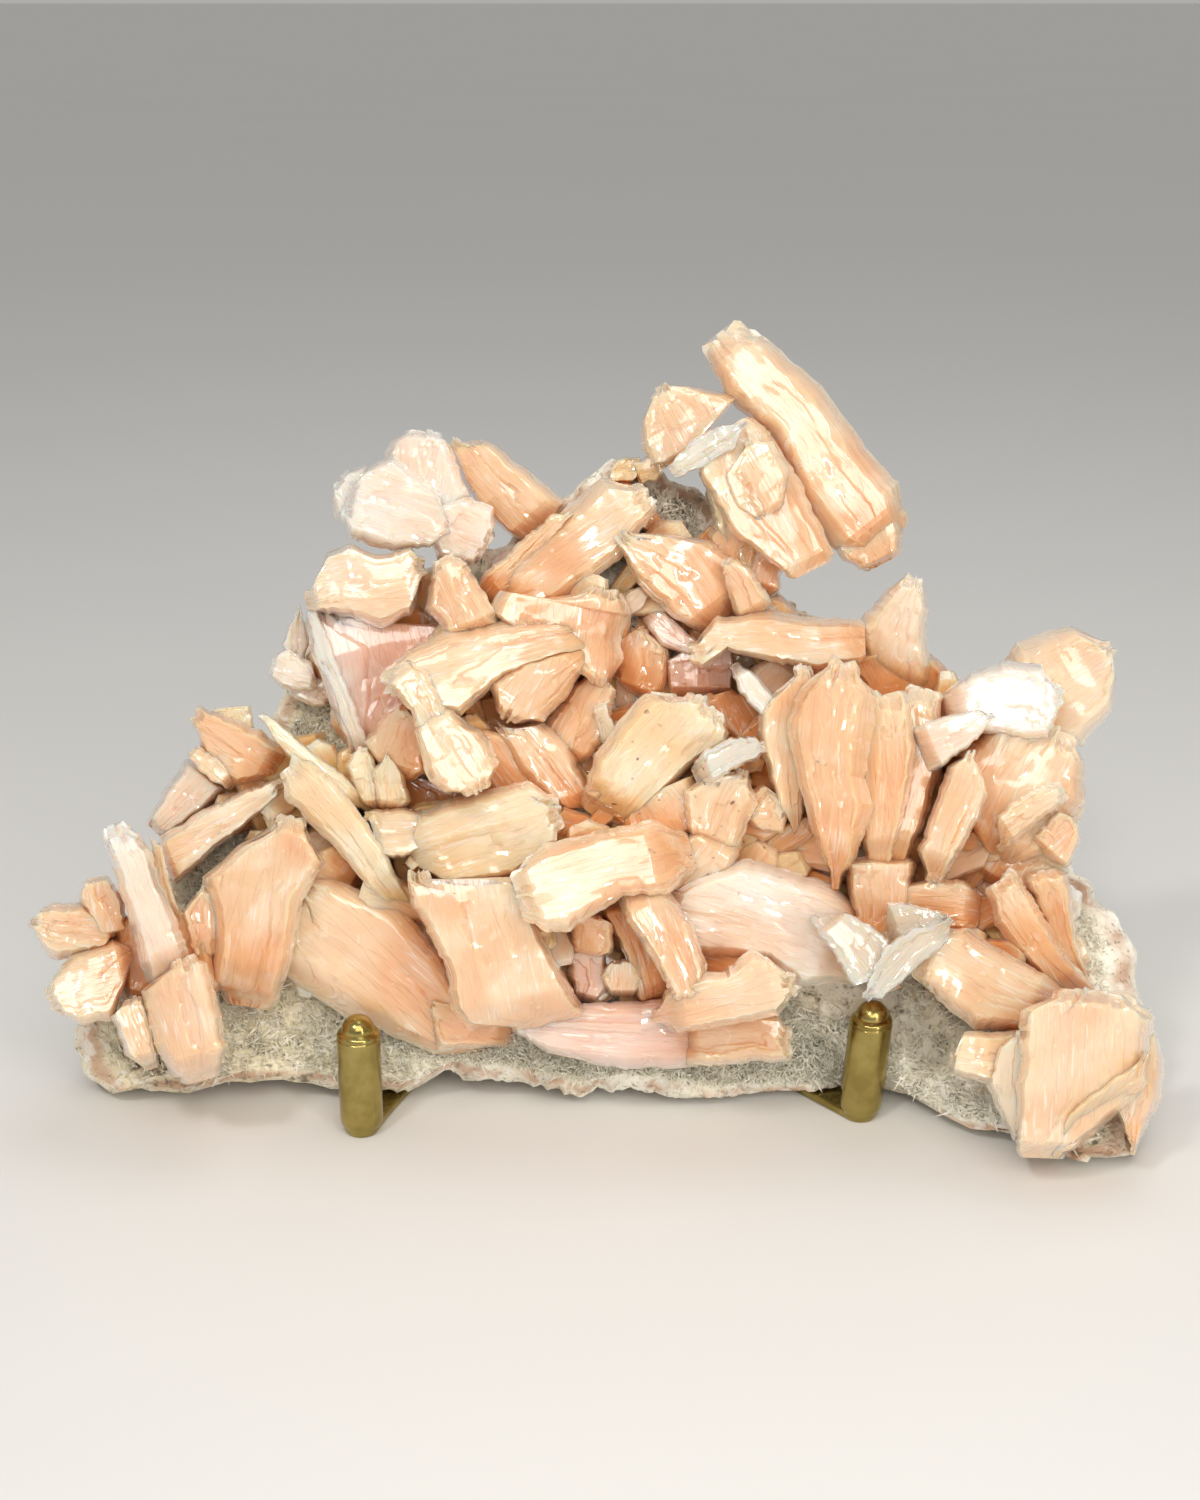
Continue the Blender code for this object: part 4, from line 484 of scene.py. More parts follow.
def noise_at(seed, *coordinates):
    """noise() of one to three coordinate arrays, which are spread against each other."""
    full = np.broadcast_arrays(*coordinates, *([0.0] * (3 - len(coordinates))))
    return noise(np.stack(full, axis=-1).astype(float), seed)


class Mesh:
    """Collects points, quads and triangles with their attributes, then becomes one object."""

    def __init__(self, name, materials):
        self.name, self.materials = name, materials
        self.points, self.faces, self.uvs, self.index = [], [], [], []
        self.values = {}
        self.count = 0

    def add(self, points, faces, uvs=None, material=0, **values):
        """points (n, 3) in millimetres, faces a list of (m, 3) or (m, 4) arrays, uvs a matching list of
        (m, 3 or 4, 2) arrays, and one value a point for each named attribute."""
        for number, face in enumerate(faces):
            self.faces.append(face + self.count)
            self.uvs.append(uvs[number] if uvs else np.zeros((*face.shape, 2)))
            self.index.append(np.full(len(face), material))
        self.points.append(points)
        for key, value in values.items():
            self.values.setdefault(key, []).append(np.broadcast_to(value, len(points)))
        self.count += len(points)

    def make(self, sharp=20.0):
        """The finished object, smooth except along edges that turn by more than sharp degrees."""
        mesh = bpy.data.meshes.new(self.name)
        points = np.concatenate(self.points) * MM
        corners = np.concatenate([face.ravel() for face in self.faces]).astype(np.int32)
        sizes = np.concatenate([np.full(len(face), face.shape[1]) for face in self.faces])
        starts = (np.cumsum(sizes) - sizes).astype(np.int32)
        mesh.vertices.add(len(points))
        mesh.vertices.foreach_set("co", points.ravel())
        mesh.loops.add(len(corners))
        mesh.loops.foreach_set("vertex_index", corners)
        mesh.polygons.add(len(sizes))
        mesh.polygons.foreach_set("loop_start", starts)
        for material in self.materials:
            mesh.materials.append(material)
        mesh.polygons.foreach_set("material_index", np.concatenate(self.index).astype(np.int32))
        mesh.update(calc_edges=True)
        layer = mesh.uv_layers.new(name="grain")
        layer.uv.foreach_set("vector", np.concatenate([uv.reshape(-1, 2) for uv in self.uvs]).ravel())
        for key, value in self.values.items():
            attribute = mesh.attributes.new(key, "FLOAT", "POINT")
            attribute.data.foreach_set("value", np.concatenate(value).astype(np.float32))
        mesh.polygons.foreach_set("use_smooth", np.ones(len(sizes), dtype=bool))
        mesh.set_sharp_from_angle(angle=math.radians(sharp))
        thing = bpy.data.objects.new(self.name, mesh)
        bpy.context.scene.collection.objects.link(thing)
        return thing


def outward(points, faces):
    """The faces, turned over where the volume they enclose, the sum of a . (b x c) / 6, is negative."""
    volume = 0.0
    for face in faces:
        for last in range(2, face.shape[1]):
            a, b, c = points[face[:, 0]], points[face[:, last - 1]], points[face[:, last]]
            volume += np.einsum("ij,ij->i", a, np.cross(b, c)).sum()
    return faces if volume > 0 else [face[:, ::-1] for face in faces]


def tube(rows, columns):
    """Quads of a grid of rows that each close on themselves, with a fan to one more point at either end."""
    here = np.arange(columns)
    there = (here + 1) % columns
    base = np.arange(rows - 1)[:, None] * columns
    quads = np.stack((base + here, base + there, base + columns + there, base + columns + here), axis=-1)
    first = np.stack((there, here, np.full(columns, rows * columns)), axis=-1)
    last = np.stack((here, there, np.full(columns, 1)), axis=-1) + (rows - 1) * columns
    last[:, 2] = rows * columns + 1
    return quads.reshape(-1, 4), first, last


def side_chains(along, across):
    """An outline's two sides as (along, across) chains that run from its lowest to its highest place."""
    first, last = int(np.argmin(along)), int(np.argmax(along))
    count = len(along)
    forward = [(first + step) % count for step in range((last - first) % count + 1)]
    backward = [(first - step) % count for step in range((first - last) % count + 1)]
    return [(np.maximum.accumulate(along[chain]) + np.arange(len(chain)) * 1e-6, across[chain])
            for chain in (forward, backward)]


def slab_radius(turns):
    """The slab's edge as its distance from MATRIX_CENTRE and its reach, in directions given in radians."""
    edge = np.array(MATRIX_EDGE, float)
    spokes = in_plane(edge[:, :2]) - in_plane(MATRIX_CENTRE)
    angles = np.arctan2(spokes[:, 1], spokes[:, 0])
    order = np.argsort(angles)
    radius = np.interp(turns, angles[order], np.hypot(*spokes[order].T), period=2 * math.pi)
    return radius, np.interp(turns, angles[order], edge[order, 2], period=2 * math.pi)


def over_slab(place, share=0.95):
    """Whether a place in the picture plane lies inside the slab's edge, shrunk to a share."""
    spoke = place - in_plane(MATRIX_CENTRE)
    radius, _ = slab_radius(math.atan2(spoke[1], spoke[0]))
    return math.hypot(*spoke) < share * radius


def slab_lumps(right, up):
    """Low swells in millimetres: sines of both directions, one bent by the other."""
    return (0.9 * np.sin(right * 0.31 + 1.3 * np.sin(up * 0.17)) * np.cos(up * 0.37)
            + 0.6 * np.sin(right * 0.71 + up * 0.53))


def slab_front(right, up, share, edge_reach):
    """Reach of the slab's front: its edge's reach near the rim, and 1 mm plus round swellings further in."""
    place_x, place_y = in_picture(right, up)
    swell = sum(height * np.exp(-((place_x - x) ** 2 + (place_y - y) ** 2) / (2 * (0.6 * spread) ** 2))
                for x, y, spread, height in MATRIX_RISES)
    rim = share ** 3
    return (edge_reach + 1.0) * rim + (1 - rim) * (1.0 + swell) + (1 - 0.6 * rim) * slab_lumps(right, up)


def slab_reach_at(place):
    """Reach of the slab's front at one place in the picture plane."""
    spoke = place - in_plane(MATRIX_CENTRE)
    radius, edge_reach = slab_radius(math.atan2(spoke[1], spoke[0]))
    return float(slab_front(place[0], place[1], math.hypot(*spoke) / radius, edge_reach))


def cross_profile(bevel_left, bevel_right, columns, softness):
    """The six-sided section of a blade as (share of its width, share of its thickness) points.

    It runs from the left edge over the left bevel, the face, the right bevel and round the back. The points
    of each side are spread evenly over it. Softness bends the bevels from a plane, depth falling as x,
    towards a curve that meets the face smoothly, depth falling as x^2.4."""
    corners = np.array(((0.0, EDGE_DROP), (bevel_left, 0.0), (1 - bevel_right, 0.0), (1.0, EDGE_DROP),
                        (0.90, 1.0), (0.10, 1.0), (0.0, EDGE_DROP)))
    steps = [np.linspace(0, 1, count, endpoint=False)[:, None] for count in columns]
    profile = np.concatenate([(1 - step) * here + step * there
                              for step, here, there in zip(steps, corners, corners[1:])])
    bevel = np.clip(profile[:, 1] / EDGE_DROP, 0, 1)
    curved = EDGE_DROP * ((1 - softness) * bevel + softness * bevel ** 2.4)
    profile[:, 1] = np.where(profile[:, 1] < EDGE_DROP, curved, profile[:, 1])
    return profile


def with_ends(rows):
    """The rows with the first and the last one twice more, for the two rings that close either end."""
    return np.concatenate((rows[:1], rows[:1], rows, rows[-1:], rows[-1:]))


def blade(row, chance, columns, stations, grown=OVERGROWTH, rough=1.0):
    """Points, faces, grain and attributes of one crystal, in millimetres.

    The outline's two sides are carried along the growth direction. At every station a six-sided section is
    fitted between them, on a plane through the root and tip reach that is tilted across. Layers broken away,
    lengthwise ridges, chipped edges and a stepped tip are taken off the face, always inwards."""
    name, growth, root, tip, tilt, thickness, bevel_left, bevel_right, outline = row
    seed = zlib.crc32(name.encode()) % 10007
    angle = math.radians(growth)
    grow = np.array((math.cos(angle), math.sin(angle)))
    side = np.array((math.sin(angle), -math.cos(angle)))
    places = in_plane(np.array(outline, float).reshape(-1, 2))
    heart = places.mean(axis=0)
    places = heart + (places - heart) * (grown if over_slab(heart) else 1.0)
    along, across = places @ grow, places @ side
    start, length = along.min(), np.ptp(along)
    even = np.linspace(0, 1, stations)
    share = 0.004 + 0.992 * (0.72 * even + 0.28 * smooth(even))
    station = start + share * length
    inset = END_INSET * length
    measured = np.clip(station, start + inset, start + length - inset)
    edges = np.array([np.interp(measured, *chain) for chain in side_chains(along, across)])
    left, right = edges.min(axis=0), edges.max(axis=0)
    full_width = (right - left).max()
    middle = (left + right) / 2
    beyond = 1 - np.clip(np.minimum(share, 1 - share) / END_INSET, 0, 1)
    half = (right - left) / 2 * (0.70 + 0.30 * np.sqrt(1 - beyond ** 2))
    ragged = [0.34 * np.abs(noise_at(seed + turn, station * 0.8)) + 0.30 * np.maximum(
        noise_at(seed + turn + 2, station * 0.3), 0) for turn in (1, 2)]
    left, right = (middle - half + np.minimum(0.25 * half, rough * ragged[0]),
                   middle + half - np.minimum(0.25 * half, rough * ragged[1]))
    bevel_left, bevel_right = BEVEL * bevel_left, BEVEL * bevel_right

    rise, slant = (tip - root) / length, tilt / full_width
    square = math.sqrt(1 + rise * rise + slant * slant)
    root_extra = sink = 0.0
    if over_slab(start * grow + middle[0] * side):
        root_extra = np.clip(root - thickness - ROOT_REACH, 0.0, ROOT_EXTRA)
        sink = ROOT_SINK * (1 - smooth(share / 0.24))[:, None]

    profile = cross_profile(bevel_left, bevel_right, columns, chance.uniform(0.25, 0.80))
    part, depth = profile[:, 0], profile[:, 1]
    on_front = np.arange(len(profile)) <= sum(columns[:3])
    face_share = np.where(on_front, part, 0.5)
    place_across = left[:, None] + part * (right - left)[:, None]
    to_end = np.minimum(share, 1 - share)[:, None]
    ends = END_TAPER * (1 - smooth(to_end / 0.10))
    deep = depth + ends * (1 - depth) - 0.6 * ends * depth

    worn = np.zeros((stations, len(profile)))
    face_across = face_share * full_width
    for layer in range(int(FACE_LAYERS * rough)):
        middle_share, half_share = chance.uniform(0.0, 1.0), chance.uniform(0.06, 0.32)
        low = chance.choice((0.0, chance.uniform(0.0, 0.6)))
        high = min(1.0, low + chance.uniform(0.25, 0.9)) if low else chance.uniform(0.2, 1.0)
        jagged = 0.06 * noise_at(seed + 10 + layer, face_across * 1.1)
        wander = 0.04 * noise_at(seed + 30 + layer, share[:, None] * 5)
        inside = ((np.abs(face_share - middle_share + wander) < half_share)
                  & (share[:, None] > low + jagged) & (share[:, None] < high + jagged))
        slopes = chance.uniform(-0.5, 0.5), chance.uniform(-0.6, 0.6)
        depth_here = (chance.uniform(0.04, 0.20) + slopes[0] * (face_share - middle_share) / half_share * 0.4
                      + slopes[1] * (share[:, None] - (low + high) / 2))
        worn += inside * np.maximum(depth_here, 0.02)
    streaks = np.abs(noise_at(seed + 50, face_across * 1.7, station[:, None] * 0.05))
    fine = np.abs(noise_at(seed + 51, face_across * 4.1, station[:, None] * 0.09))
    waves = noise_at(seed + 52, face_across * 0.22, station[:, None] * 0.16)
    dents = np.maximum(noise_at(seed + 54, face_across * 0.11, station[:, None] * 0.12), 0)
    worn += rough * (0.02 * streaks + 0.01 * fine + 0.22 * (waves + 1) + 0.9 * dents)
    ridges = np.abs(face_share[None, :, None] - np.array((0.0, bevel_left, 1 - bevel_right, 1.0)))
    to_ridge = ridges.min(axis=-1) * full_width
    chips = np.maximum(noise_at(seed + 53, station[:, None] * 0.8, face_across * 0.3) - 0.15, 0)
    worn += rough * 0.6 * chips * np.exp(-to_ridge / 0.7)
    worn = np.minimum(worn * on_front, 0.45 * thickness)

    splinter = np.floor(face_across / 1.6 + 0.5 * noise_at(seed + 60, face_across * 0.5))
    shorter = 0.5 + 0.5 * noise_at(seed + 61, splinter * 1.37 + 0.5)
    shorter = rough * 0.075 * shorter * smooth((share[:, None] - 0.70) / 0.30)

    reach = root + rise * (station[:, None] - start) + slant * (place_across - middle[:, None])
    reach = reach - (deep * thickness + worn) / square - sink
    reach = reach - np.where(depth > 0.99, root_extra * (1 - share[:, None]), 0.0)
    flat = (station[:, None] - shorter * length)[..., None] * grow + place_across[..., None] * side
    points = in_space(flat[..., 0], flat[..., 1], reach)

    closing = []
    for ring, order in ((points[0], (0.45, 0.8)), (points[-1], (0.8, 0.45))):
        centre = ring.mean(axis=0)
        closing.append([centre + (ring - centre) * size for size in order])
    points = np.concatenate((closing[0], points, closing[1]))
    rows = len(points)
    quads, first, last = tube(rows, len(profile))
    flat_points = np.concatenate((points.reshape(-1, 3), points[:1].mean(axis=1), points[-1:].mean(axis=1)))
    flat_points[:, 2] = np.maximum(flat_points[:, 2], CRYSTAL_CLEARANCE)

    shares = np.concatenate(([0.0, 0.0], share, [1.0, 1.0]))
    offset = (seed % 97) * 7.0
    aside = with_ends(place_across + deep * thickness)
    grain = np.stack(np.broadcast_arrays(shares[:, None] * length, aside), axis=-1).reshape(-1, 2) + offset
    grain = np.concatenate((grain, grain[:1], grain[-1:]))

    # rim: nearness to the side edges and the tip, which the finish pales, partly as frosting and partly as
    # painted light
    to_side = np.minimum(face_share, 1 - face_share) * full_width
    rim = np.where(on_front, np.exp(-to_side / 1.5), 1.0) * np.ones((stations, 1))
    rim = np.maximum(rim, np.exp(-(1 - share[:, None]) * length / 2.2))
    rim = with_ends(rim).ravel()
    values = {"tip": np.append(np.repeat(shares, len(profile)), (0.0, 1.0)),
              "rim": np.append(rim, (1.0, 1.0)), "tint": chance.uniform(0.0, 1.0)}
    faces = outward(flat_points, [quads, first, last])
    return flat_points, faces, [grain[face] for face in faces], values


def set_prominence(meshes):
    """Gives every crystal's points the attribute proud: 0.5 level with the crystals round about, 1 well in
    front of them and 0 deep in a hollow.

    The front reach of all crystals is gathered on a grid over the picture plane and blurred by a bell curve.
    Proud is 0.5 plus the difference of a point's reach from that, over twice PROUD_RANGE. The crystal
    finishes use it to paint shade into the hollows and light onto the proud parts."""
    seen = []
    for mesh in meshes:
        away = np.concatenate(mesh.points) - MIDDLE
        reach = -away @ FORWARD
        closer = 1.0 - reach / VIEW_DISTANCE
        seen.append((away @ RIGHTWARD / closer, away @ UPWARD / closer, reach))
    right, up, reach = (np.concatenate(values) for values in zip(*seen))
    low_right, low_up = right.min(), up.min()
    size = (int(np.ptp(up) / PROUD_CELL) + 2, int(np.ptp(right) / PROUD_CELL) + 2)
    height = np.full(size, PROUD_FLOOR)
    cells = (((up - low_up) / PROUD_CELL).astype(int), ((right - low_right) / PROUD_CELL).astype(int))
    np.maximum.at(height, cells, reach)
    offsets = np.arange(-PROUD_STEPS, PROUD_STEPS + 1) * PROUD_CELL
    bell = np.exp(-0.5 * (offsets / PROUD_BLUR) ** 2)
    for axis in (0, 1):
        weight = np.apply_along_axis(np.convolve, axis, np.ones(size), bell, "same")
        height = np.apply_along_axis(np.convolve, axis, height, bell, "same") / weight
    proud = np.clip(0.5 + (reach - height[cells]) / (2 * PROUD_RANGE), 0, 1)
    start = 0
    for mesh in meshes:
        mesh.values["proud"] = [proud[start:start + mesh.count]]
        start += mesh.count


def share_out(crystals, materials):
    """Deals the crystals to meshes so that no two of a mesh overlap in the picture plane.

    Light that scatters inside a crystal then never meets the surface of another that runs through it."""
    meshes, taken = [], []
    for kind, points, faces, uvs, values in crystals:
        places = np.stack((points @ RIGHTWARD, points @ UPWARD), axis=1)
        cells = (places / GROUP_CELL + GROUP_CELLS // 2).astype(int)
        held = np.zeros((GROUP_CELLS, GROUP_CELLS), bool)
        for aside in (-1, 0, 1):
            held[cells[:, 0] + aside, cells[:, 1]] = held[cells[:, 0], cells[:, 1] + aside] = True
        home = next((at for at, mask in enumerate(taken) if not (mask & held).any()), len(taken))
        if home == len(taken):
            meshes.append(Mesh(f"crystals_{home + 1}", materials))
            taken.append(np.zeros_like(held))
        taken[home] |= held
        meshes[home].add(points, faces, uvs, kind, **values)
    return meshes


def cover_reach(place):
    """Reach of the highest big crystal whose outline holds a picture place, or None where there is a gap."""
    best = None
    for _, _, root, tip, *_, outline in CRYSTALS:
        corners = np.array(outline, float).reshape(-1, 2)
        following = np.roll(corners, -1, axis=0)
        crosses = (corners[:, 1] > place[1]) != (following[:, 1] > place[1])
        edges = following - corners
        with np.errstate(divide="ignore", invalid="ignore"):
            at = corners[:, 0] + (place[1] - corners[:, 1]) * edges[:, 0] / edges[:, 1]
        if np.count_nonzero(crosses & (place[0] < at)) % 2:
            best = max(best or 0.0, min(root, tip))
    return best


def undergrowth(chance):
    """Short blades on a jittered grid over the slab between the big crystals, turned away from its middle.

    Their tips stay UNDER_COVER below the big crystals that lie over their ends and their middle."""
    rows = []
    for x0 in range(*UNDER_ACROSS, UNDER_STEP):
        for y0 in range(*UNDER_DOWN, UNDER_STEP):
            x = x0 + chance.uniform(-UNDER_JITTER, UNDER_JITTER)
            y = y0 + chance.uniform(-UNDER_JITTER, UNDER_JITTER)
            bare = any(abs(x - bx) < w and abs(y - by) < h for bx, by, w, h in BARE_PLACES)
            if bare or not over_slab(in_plane((x, y)), 0.90):
                continue
            turn = math.degrees(math.atan2(UNDER_FOCUS[1] - y, x - UNDER_FOCUS[0])) + chance.uniform(-75, 75)
            length, width = chance.uniform(55, 105), chance.uniform(24, 54)
            base = slab_reach_at(in_plane((x, y)))
            tips = base + chance.uniform(6.5, 14.0)
            cosine, sine = math.cos(math.radians(turn)), math.sin(math.radians(turn))
            for along in (-0.5, 0.0, 0.5):
                cover = cover_reach((x + along * length * cosine, y - along * length * sine))
                if cover is not None:
                    tips = max(min(tips, cover - UNDER_COVER), base + 1.0)
            outline = []
            for along, across in UNDER_OUTLINE:
                outline += [x + along * length * cosine + across * width * sine,
                            y - along * length * sine + across * width * cosine]
            rows.append((f"under_{len(rows)}", turn, base + 0.4 * (tips - base), tips, chance.uniform(-3, 3),
                         chance.uniform(3.5, 7.0), 0.25, 0.25, outline))
    return rows


# Materials
class Nodes:
    """Short hand for building a node tree: every method returns the socket that its node puts out."""

    def __init__(self, tree):
        self.tree = tree

    @classmethod
    def material(cls, name):
        """A new material, the builder of its tree and its shader."""
        made = bpy.data.materials.new(name)
        made.use_nodes = True
        return made, cls(made.node_tree), made.node_tree.nodes["Principled BSDF"]

    def node(self, kind, **settings):
        made = self.tree.nodes.new(kind)
        for key, value in settings.items():
            setattr(made, key, value)
        return made

    def put(self, target, value):
        if isinstance(value, bpy.types.NodeSocket):
            self.tree.links.new(value, target)
        else:
            target.default_value = value

    def math(self, operation, *values, clamp=False):
        made = self.node("ShaderNodeMath", operation=operation, use_clamp=clamp)
        for place, value in zip(made.inputs, values):
            self.put(place, value)
        return made.outputs[0]

    def mix(self, share, first, second):
        made = self.node("ShaderNodeMix", data_type="RGBA")
        self.put(made.inputs[0], share)
        for place, value in ((6, first), (7, second)):
            plain = not isinstance(value, bpy.types.NodeSocket)
            self.put(made.inputs[place], (*value, 1.0) if plain else value)
        return made.outputs[2]

    def ramp(self, value, low, high, first=0.0, second=1.0):
        made = self.node("ShaderNodeMapRange", interpolation_type="SMOOTHSTEP")
        for place, number in zip(made.inputs, (value, low, high, first, second)):
            self.put(place, number)
        return made.outputs[0]

    def scaled(self, vector, x, y, z):
        made = self.node("ShaderNodeVectorMath", operation="MULTIPLY")
        self.put(made.inputs[0], vector)
        made.inputs[1].default_value = (x, y, z)
        return made.outputs[0]

    def noise(self, vector, scale, detail=2.0, roughness=0.5):
        made = self.node("ShaderNodeTexNoise")
        self.put(made.inputs["Vector"], vector)
        for name, value in (("Scale", scale), ("Detail", detail), ("Roughness", roughness)):
            made.inputs[name].default_value = value
        return made.outputs["Fac"]

    def solid(self):
        return self.node("ShaderNodeTexCoord").outputs["Object"]

    def attribute(self, name):
        return self.node("ShaderNodeAttribute", attribute_name=name).outputs["Fac"]

    def times(self, value, factor):
        return self.math("MULTIPLY", value, factor)

    def plus(self, first, *others):
        for other in others:
            first = self.math("ADD", first, other)
        return first

    def coats(self, colour, rows):
        """The colour with others laid over it in turn, each given as its share and its colour."""
        for share, other in rows:
            colour = self.mix(share, colour, other)
        return colour

    def bump(self, height, strength, distance):
        made = self.node("ShaderNodeBump")
        self.put(made.inputs["Height"], height)
        self.put(made.inputs["Strength"], strength)
        made.inputs["Distance"].default_value = distance
        return made.outputs[0]


def set_values(shader, values):
    """Puts plain values into the shader's own sockets."""
    for name, value in values.items():
        shader.inputs[name].default_value = value


def grain_group():
    """Masks and the surface's normal for a crystal: streaks and broken layers along the grain, cloudy
    blotches, flaky steps whose peaks also carry painted glints, specks, and a frosted rim."""
    group = bpy.data.node_groups.new("stilbite_grain", "ShaderNodeTree")
    for name in ("Streaks", "Clouds", "Depths", "Specks", "Frost", "Glints", "Normal"):
        kind = "NodeSocketVector" if name == "Normal" else "NodeSocketFloat"
        group.interface.new_socket(name=name, in_out="OUTPUT", socket_type=kind)
    build = Nodes(group)
    ramp, times = build.ramp, build.times
    out = build.node("NodeGroupOutput")
    grain = build.node("ShaderNodeUVMap", uv_map="grain").outputs[0]
    solid = build.solid()

    streaks = build.noise(build.scaled(grain, 0.022, 0.9, 1.0), 1.0, 2.0, 0.60)
    layers = build.noise(build.scaled(grain, 0.11, 0.7, 1.0), 1.0, 0.0)
    flakes_and_glints = build.noise(build.scaled(grain, 0.17, 2.1, 1.0), 1.0, 1.0, 0.65)
    clouds = build.noise(solid, 125.0, 2.0, 0.55)
    depths = build.noise(solid, 75.0, 1.0)
    patches = build.noise(solid, 420.0, 1.0, 0.6)
    off = build.node("ShaderNodeVectorMath", operation="DISTANCE")
    build.put(off.inputs[0], solid)
    off.inputs[1].default_value = tuple(in_space(*(np.array([value]) for value in SPECK_CENTRE))[0] * MM)
    near = ramp(off.outputs["Value"], SPECK_SPREAD * MM, 2 * SPECK_SPREAD * MM, 1.0, 0.0)
    specks = times(ramp(build.noise(solid, 1000.0, 0.0), 0.74, 0.78), times(near, ramp(patches, 0.45, 0.60)))
    frost = times(ramp(build.attribute("rim"), 0.55, 0.95), ramp(patches, 0.40, 0.62))
    frost = build.math("MAXIMUM", frost, ramp(patches, 0.66, 0.80, 0.0, 0.6))
    lined = times(ramp(depths, 0.44, 0.60, 0.3, 1.0), ramp(build.attribute("tint"), 0.45, 0.80, 0.15, 1.0))
    height = build.plus(times(streaks, lined), times(ramp(layers, 0.48, 0.52), 0.40),
                        times(ramp(flakes_and_glints, 0.56, 0.60), 0.50), times(patches, 0.45))
    for name, value in {
            "Streaks": ramp(streaks, 0.30, 0.70), "Clouds": ramp(clouds, 0.38, 0.66),
            "Depths": ramp(depths, 0.42, 0.66), "Specks": specks, "Frost": frost,
            # painted glints: pale strokes on the peaks of the flaky steps, in cloudy patches
            "Glints": times(ramp(flakes_and_glints, 0.56, 0.62), ramp(clouds, 0.46, 0.60)),
            "Normal": build.bump(height, 0.65, 0.00034)}.items():
        build.put(out.inputs[name], value)
    return group


def stilbite(name, grain):
    """A crystal finish: its colour runs from root to tip and deepens in streaks. Painted shade deepens it to
    the root colour in the hollows, and painted light pales the parts that stand proud. It pales on its rims,
    partly as real frosting and partly as painted light glowing through thin edges, and painted glints lie on
    it in short strokes.
    Light scatters inside it, and the clear finish also lets it through."""
    tip_colour, body_colour, root_colour, roughness, clear = FINISHES[name]
    material, build, shader = Nodes.material("stilbite_" + name)
    ramp, times = build.ramp, build.times
    group = build.node("ShaderNodeGroup")
    group.node_tree = grain
    mask = group.outputs
    tip, tint, proud, rim = (build.attribute(key) for key in ("tip", "tint", "proud", "rim"))
    build.put(shader.inputs["Base Color"], build.coats(build.mix(0.35, root_colour, body_colour), (
        (ramp(tip, 0.0, 0.50), body_colour),
        (ramp(tip, 0.50, 1.0, 0.0, 0.75), tip_colour),
        (times(mask["Clouds"], 0.80), tip_colour),
        (times(mask["Depths"], 0.62), root_colour),
        (times(mask["Streaks"], 0.03), root_colour),
        # lighter along the edges and at the tip: partly real frosting, partly painted light glowing through
        # the thin edges
        (ramp(rim, 0.10, 0.98, 0.0, 0.70), tip_colour),
        (times(tint, 0.35), tip_colour),
        # painted shade: the hollows are deepened to the root colour; painted light: proud parts are paled to
        # the tip colour
        (ramp(proud, 0.08, 0.46, 0.95, 0.0), root_colour),
        (ramp(proud, 0.60, 0.98, 0.0, 0.15), tip_colour),
        # painted glints: short near-white strokes along the grain
        (times(mask["Glints"], 0.40), (0.98, 0.92, 0.84)),
        (times(mask["Frost"], 0.35), (0.93, 0.86, 0.77)),
        (times(mask["Specks"], 0.75), (0.10, 0.05, 0.03)))))
    rough = build.plus(times(mask["Frost"], 0.25), times(mask["Glints"], -0.16))
    build.put(shader.inputs["Roughness"], build.math("ADD", rough, roughness - 0.06, clamp=True))
    build.put(shader.inputs["Normal"], mask["Normal"])
    set_values(shader, {
        "IOR": 1.50, "Subsurface Weight": 0.80, "Subsurface Radius": (1.0, 0.62, 0.38),
        "Subsurface Scale": 0.0030, "Specular IOR Level": 0.9, "Coat IOR": 1.7, "Coat Weight": 1.0,
        "Coat Roughness": 0.06, "Transmission Weight": clear})
    if clear:
        haze = build.node("ShaderNodeVolumeAbsorption")
        set_values(haze, {"Color": (0.95, 0.88, 0.82, 1.0), "Density": 60.0})
        out = next(node for node in material.node_tree.nodes if node.type == "OUTPUT_MATERIAL")
        build.put(out.inputs["Volume"], haze.outputs[0])
    return material


